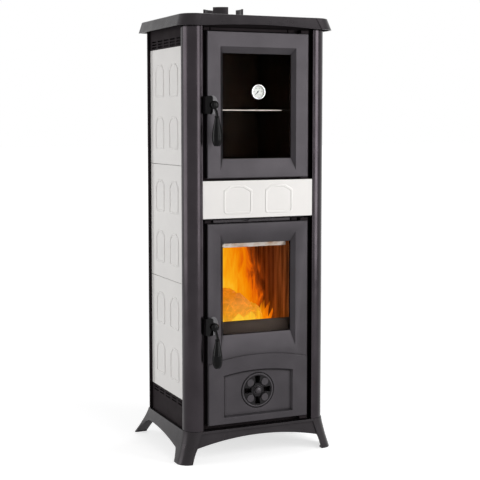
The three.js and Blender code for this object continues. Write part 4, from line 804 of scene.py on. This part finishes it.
DOOR_FACE = -175.7  # y of the doors' front, in millimetres
CASE_PROFILE = (
    (0, 45), (4, 45), (4, 12), (22, 12), (22, 2.8), (21.5, 1.5), (20.6, 1.0), (19.5, 1.05),
    (18.7, 1.4), (18.5, 1.8), (19.5, 2.0), (19.5, 9.6), (1, 9.6), (1, 3.4), (0, 3.4),
)
LENS_PROFILE = ((0, 2.0), (9, 2.08), (15, 2.3), (19.2, 2.6), (19.2, 3.5), (0, 3.5))
DIAL_SWEEP = 270
DIAL_TOP = 500
DIAL_STEP = 100
DIAL_RISE = 0.06  # how far its print stands over the dial
DIAL_LIFT = 0.01
MARK_COUNT = 50
MARK_LONG_EVERY = 5
MARK_OUTER = 17.6
MARK_LONG = (14.6, 0.22)  # inner radius and half width
MARK_SHORT = (16.0, 0.11)
NUMBER_RADIUS = 11.2
NUMBER_SIZE = 3.6
UNIT_RADIUS = 8.0
UNIT_ANGLE = 180


def on_dial(centre, angle, radius, y):
    """A place on the dial, so many degrees clockwise from its top."""
    turn = math.radians(angle)
    return Vector((
        centre.x + radius * MM * math.sin(turn), y, centre.z + radius * MM * math.cos(turn)))


def dial_angle(value, top):
    """Where a value stands on a scale that runs from 0 to its top, in degrees."""
    return -DIAL_SWEEP / 2 + DIAL_SWEEP * value / top


def add_marks(centre, face):
    """The short and long lines round the scale, a hair over the dial."""
    made = bmesh.new()
    lift = Vector((0, -DIAL_RISE * MM, 0))
    for i in range(MARK_COUNT + 1):
        angle = dial_angle(i, MARK_COUNT)
        inner, half = MARK_LONG if i % MARK_LONG_EVERY == 0 else MARK_SHORT
        turn = math.radians(angle)
        side = Vector((math.cos(turn), 0, -math.sin(turn))) * half * MM
        foot, tip = (on_dial(centre, angle, radius, face) for radius in (inner, MARK_OUTER))
        corners = [foot - side, foot + side, tip + side, tip - side]
        skinned(made, [corners, [corner + lift for corner in corners]])
    add_piece("thermometer_marks", made, slot="needle_black", body=body_of("thermometer_dial"))


def add_number(name, text, place):
    """Printed figures, a hair over the dial."""
    data = bpy.data.curves.new(name, "FONT")
    data.body = text
    data.align_x = "CENTER"
    data.align_y = "CENTER"
    data.size = NUMBER_SIZE * MM
    data.extrude = DIAL_RISE / 2 * MM
    draft = bpy.data.objects.new(name + "_draft", data)
    mesh = bpy.data.meshes.new_from_object(draft)
    bpy.data.objects.remove(draft)
    mesh.transform(Matrix.Translation(place) @ Matrix.Rotation(math.pi / 2, 4, "X"))
    made = bmesh.new()
    made.from_mesh(mesh)
    bmesh.ops.remove_doubles(made, verts=made.verts, dist=1e-7)
    add_piece(name, made, slot="needle_black", body=body_of("thermometer_dial"), angle=30)


def add_thermometer():
    centre, _ = middle_and_size("thermometer_dial")
    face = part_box("thermometer_dial")[0].y
    axle = Vector((centre.x, DOOR_FACE * MM, centre.z))
    for name, profile, angle in (("case", CASE_PROFILE, 50), ("lens", LENS_PROFILE, 30)):
        made = bmesh.new()
        turned(made, millimetres(profile), axle, (0, 1, 0))
        add_piece("round_thermometer_" + name, made, ["thermometer_" + name], angle=angle)
    add_marks(centre, face)
    print_face = face - DIAL_LIFT * MM
    for value in range(0, DIAL_TOP + 1, DIAL_STEP):
        place = on_dial(centre, dial_angle(value, DIAL_TOP), NUMBER_RADIUS, print_face)
        add_number(f"thermometer_number_{value}", str(value), place)
    place = on_dial(centre, UNIT_ANGLE, UNIT_RADIUS, print_face)
    add_number("thermometer_unit", "\u00b0C", place)


# ---------------------------------------------------------------- rope seals

ROPE_RADIUS = 3.7
ROPE_STRANDS = 3
ROPE_STRAND = 0.35  # how far its strands swell
ROPE_FLATNESS = 0.94
ROPE_LAY = 18  # length of one turn of the strands
ROPE_STEP = 3
ROPE_SIDES = 12
ROPE_CORNER = 14
ROPE_CORNER_STEPS = 8
ROPE_INSET = 4.5  # from the seal's box to the middle of the rope


def add_seal(door):
    """A twisted rope laid round the door's back in a rounded rectangle."""
    node = door + "_door_seal"
    low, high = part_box(node)
    inset = ROPE_INSET * MM
    half = (high.x - low.x) / 2 - inset
    bottom, top = low.z + inset, high.z - inset
    y = (low.y + high.y) / 2
    corner = ROPE_CORNER * MM
    turns = ((half - corner, bottom + corner, -90), (half - corner, top - corner, 0),
             (-half + corner, top - corner, 90), (-half + corner, bottom + corner, 180))
    path = []
    for x, z, start in turns:
        for i in range(ROPE_CORNER_STEPS + 1):
            a = math.radians(start + 90 * i / ROPE_CORNER_STEPS)
            path.append(Vector((x + corner * math.cos(a), y, z + corner * math.sin(a))))
    line = []
    for here, after in zip(path, [*path[1:], path[0]]):
        steps = max(1, round((after - here).length / (ROPE_STEP * MM)))
        line += [here.lerp(after, i / steps) for i in range(steps)]
    made = bmesh.new()
    side = Vector((0, 1, 0))
    rings = []
    lays = round(len(line) * ROPE_STEP / ROPE_LAY)
    for i, point in enumerate(line):
        ahead = (line[(i + 1) % len(line)] - line[i - 1]).normalized()
        across = ahead.cross(side)
        run = 2 * math.pi * lays * i / len(line)
        ring = []
        for k in range(ROPE_SIDES):
            a = 2 * math.pi * k / ROPE_SIDES
            radius = (ROPE_RADIUS + ROPE_STRAND * math.cos(ROPE_STRANDS * (a + run))) * MM
            out, down = radius * math.cos(a), radius * ROPE_FLATNESS * math.sin(a)
            ring.append(point + across * out + side * down)
        rings.append(ring)
    skinned(made, rings, closed=True)
    add_piece("twisted_" + node, made, [node], angle=80)


# ---------------------------------------------------------------- the fire

LOGS = (
    # start, end, radius and first angle of each split log, in millimetres and degrees
    ((-112, -62, 356), (112, -74, 352), 32, 20),
    ((-108, 34, 354), (116, 48, 356), 31, 70),
    ((-34, -104, 432), (-20, 92, 436), 52, 40),
    ((22, -92, 408), (64, 84, 412), 34, 10),
)
LOG_STEPS = 18
LOG_SIDES = 20
LOG_SPLIT = 0.16  # how flat its split faces are
LOG_FACES = 5  # how many of them
LOG_TAPER = 0.1  # share of its radius that it loses from end to end
LOG_END = 0.12  # and at either end
LOG_KNOTS = 0.16  # how rough it is
LOG_KNOT_SCALE = 38


def add_logs():
    made = bmesh.new()
    for start, end, radius, first in LOGS:
        start, end = Vector(start) * MM, Vector(end) * MM
        ahead = (end - start).normalized()
        along = ahead.orthogonal().normalized()
        across = ahead.cross(along)
        rings = []
        for i in range(LOG_STEPS + 1):
            t = i / LOG_STEPS
            point = start.lerp(end, t)
            taper = 1 - LOG_TAPER * t - (LOG_END if i in (0, LOG_STEPS) else 0)
            ring = []
            for k in range(LOG_SIDES):
                a = 2 * math.pi * k / LOG_SIDES
                face = LOG_FACES / 2 * (a + math.radians(first))
                reach = radius * MM * taper * (1 - LOG_SPLIT * abs(math.sin(face)))
                spot = point + along * (reach * math.cos(a)) + across * (reach * math.sin(a))
                knot = noise.noise(spot * LOG_KNOT_SCALE)
                ring.append(spot + (spot - point) * LOG_KNOTS * knot)
            rings.append(ring)
        skinned(made, rings)
    add_piece("fire_logs", made, slot="fireclay", body="stove_body", angle=60, look="embers")


FLAME_LEFT, FLAME_RIGHT = -122, 124
FLAME_LOW, FLAME_HIGH = 330, 636
FLAME_ACROSS, FLAME_UP = 36, 44  # faces
FLAME_MIDDLE = 6  # y of its foot
FLAME_WAVES = ((12, 21, 60), (7, 9, -34))  # depth of each wave, and its length in x and z
FLAME_LEAN = 0.08
TONGUE_STEPS = 14
TONGUE_SIDES = 12
TONGUE_FLATNESS = 0.4
TONGUES = (
    # foot in x, y and z, then width, height and lean
    (52, -98, 392, 18, 80, 4),
    (66, -94, 392, 16, 64, 6),
    (38, -100, 392, 16, 44, -4),
    (80, -90, 390, 12, 40, 5),
    (-2, -112, 388, 46, 40, 6),
    (-34, -114, 390, 40, 34, -8),
)


def flame_place(share_across, share_up):
    x = FLAME_LEFT + (FLAME_RIGHT - FLAME_LEFT) * share_across / FLAME_ACROSS
    z = FLAME_LOW + (FLAME_HIGH - FLAME_LOW) * share_up / FLAME_UP
    y = FLAME_MIDDLE
    for depth, across, up in FLAME_WAVES:
        y += depth * math.sin(x / across + z / up)
    y += (z - FLAME_LOW) * FLAME_LEAN
    return Vector((x, y, z)) * MM


def add_flames():
    """One waving sheet of flame behind the logs, and small tongues in front of them."""
    made = bmesh.new()
    rows = [[made.verts.new(flame_place(k, i)) for k in range(FLAME_ACROSS + 1)]
            for i in range(FLAME_UP + 1)]
    for low, high in zip(rows, rows[1:]):
        for k in range(FLAME_ACROSS):
            made.faces.new((low[k], low[k + 1], high[k + 1], high[k]))
    turns = [2 * math.pi * k / TONGUE_SIDES for k in range(TONGUE_SIDES)]
    for x, y, z, width, height, lean in TONGUES:
        rings = []
        for i in range(TONGUE_STEPS + 1):
            t = i / TONGUE_STEPS
            belly = math.sin(math.pi * min(1, t * 0.86 + 0.14) ** 0.75) + 0.02
            half = width / 2 * belly
            sway = (lean * t * t, 3 * math.sin(5 * t + x), 4 * math.sin(4 * t))
            centre = Vector((x + sway[0] + sway[1], y + sway[2], z + height * t))
            rings.append([
                (centre + Vector((half * math.cos(a), TONGUE_FLATNESS * half * math.sin(a), 0)))
                * MM for a in turns])
        skinned(made, rings)
    add_piece("fire_flames", made, slot="fireclay", body="stove_body", angle=80, look="flames")


# ---------------------------------------------------------------- small fasteners

SCREWS = 6  # on each side
SCREW_END = 30  # from the panel's end to the first
SCREW_EDGE = 12  # and from its side
SCREW_SIDES = 24
SCREW_DOME = ((0, 2.4), (2.2, 2.2), (3.9, 1.3), (4.4, 0), (0, -0.1))
CROSS_BARS = ((3.4, 0.8), (0.8, 3.4))
CROSS_RISE = 2.42
CROSS_DEPTH = 0.6


def add_screws():
    """Domed screws that hold the back panel to the casing's edges."""
    low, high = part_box("back_panel")
    run = high.z - low.z - 2 * SCREW_END * MM
    made = bmesh.new()
    for side in (-1, 1):
        for i in range(SCREWS):
            z = low.z + SCREW_END * MM + run * i / (SCREWS - 1)
            x = side * (high.x - SCREW_EDGE * MM)
            turned(made, millimetres(SCREW_DOME), (x, high.y, z), (0, 1, 0), SCREW_SIDES)
            for across, up in CROSS_BARS:
                spots = [Vector((x + u * across / 2 * MM, high.y + CROSS_RISE * MM,
                                 z + v * up / 2 * MM))
                         for u, v in ((-1, -1), (1, -1), (1, 1), (-1, 1))]
                foot = [spot - Vector((0, CROSS_DEPTH * MM, 0)) for spot in spots]
                skinned(made, [foot, spots])
    add_piece("back_panel_screws", made, slot="bare_steel", body=body_of("back_panel"), angle=50)


# ---------------------------------------------------------------- the stove, piece by piece

EASED = {
    # node: how far its edges are rounded, in millimetres. Wide rounds cross at small steps
    "fire_door_frame": 0.28, "oven_door_frame": 0.28,
    "base_casting": 0.2, "top_plate": 0.15, "flue_collar": 0.2,
    "oven_handle_lever": 0.1, "fire_handle_lever": 0.1, "air_rosette": 0.1, "air_slider": 0.1,
    "front_frame": 0.3, "side_panel_left": 0.3, "side_panel_right": 0.3, "back_panel": 0.3,
    "log_guard": 0.6, "oven_glass_retainer": 0.4, "fire_glass_retainer": 0.4,
    "air_wash_strip": 0.3,
    "firebrick_left": 1.5, "firebrick_right": 1.5, "firebrick_back": 1.5, "fire_baffle": 1.5,
    "firebox_floor": 0.6, "fire_grate": 0.6, "ash_drawer": 0.3, "inner_body": 0.3,
    "oven_box": 0.4, "oven_door_glass": 0.4, "fire_door_glass": 0.4,
    "thermometer_needle": 0.12, "rosette_knob": 0, "oven_rack": 0,
    "fire_hinge_pin_bottom": 0.4, "fire_hinge_pin_top": 0.4,
    "oven_hinge_pin_bottom": 0.4, "oven_hinge_pin_top": 0.4,
}
EASED_ANGLE = 35  # degrees over an edge that shades smooth
ROUND_ANGLE = 50  # the same for pieces that are round already, and for tiles
TILE_EASE = 0.65
TILE_SEGMENTS = 3
LOOKS = {
    # node: its own look, where that differs from its slot's
    "log_guard": "sooted_iron", "firebox_floor": "sooted_iron", "fire_grate": "sooted_iron",
    # these take the darker copy of the cast-iron paint, as painted shade
    "air_slider": "shade_darkened_iron", "base_casting": "shade_darkened_iron", "top_plate": "shade_darkened_iron",
    "flue_collar": "shade_darkened_iron",
}

add_camera()
for lamp in LAMPS:
    add_softbox(*lamp)
add_floor()
add_world()
bpy.context.scene.view_settings.view_transform = "Standard"
dress_nodes()
add_columns()
for piece, width in EASED.items():
    add_eased(piece, width, angle=EASED_ANGLE if width else ROUND_ANGLE)
for piece in nodes:
    if slot_of[piece] == "tile_glaze":
        add_eased(piece, TILE_EASE, TILE_SEGMENTS, ROUND_ANGLE)
for door in ("oven", "fire"):
    add_grip(door)
    add_rose(door)
    add_seal(door)
add_thermometer()
add_logs()
add_flames()
add_screws()
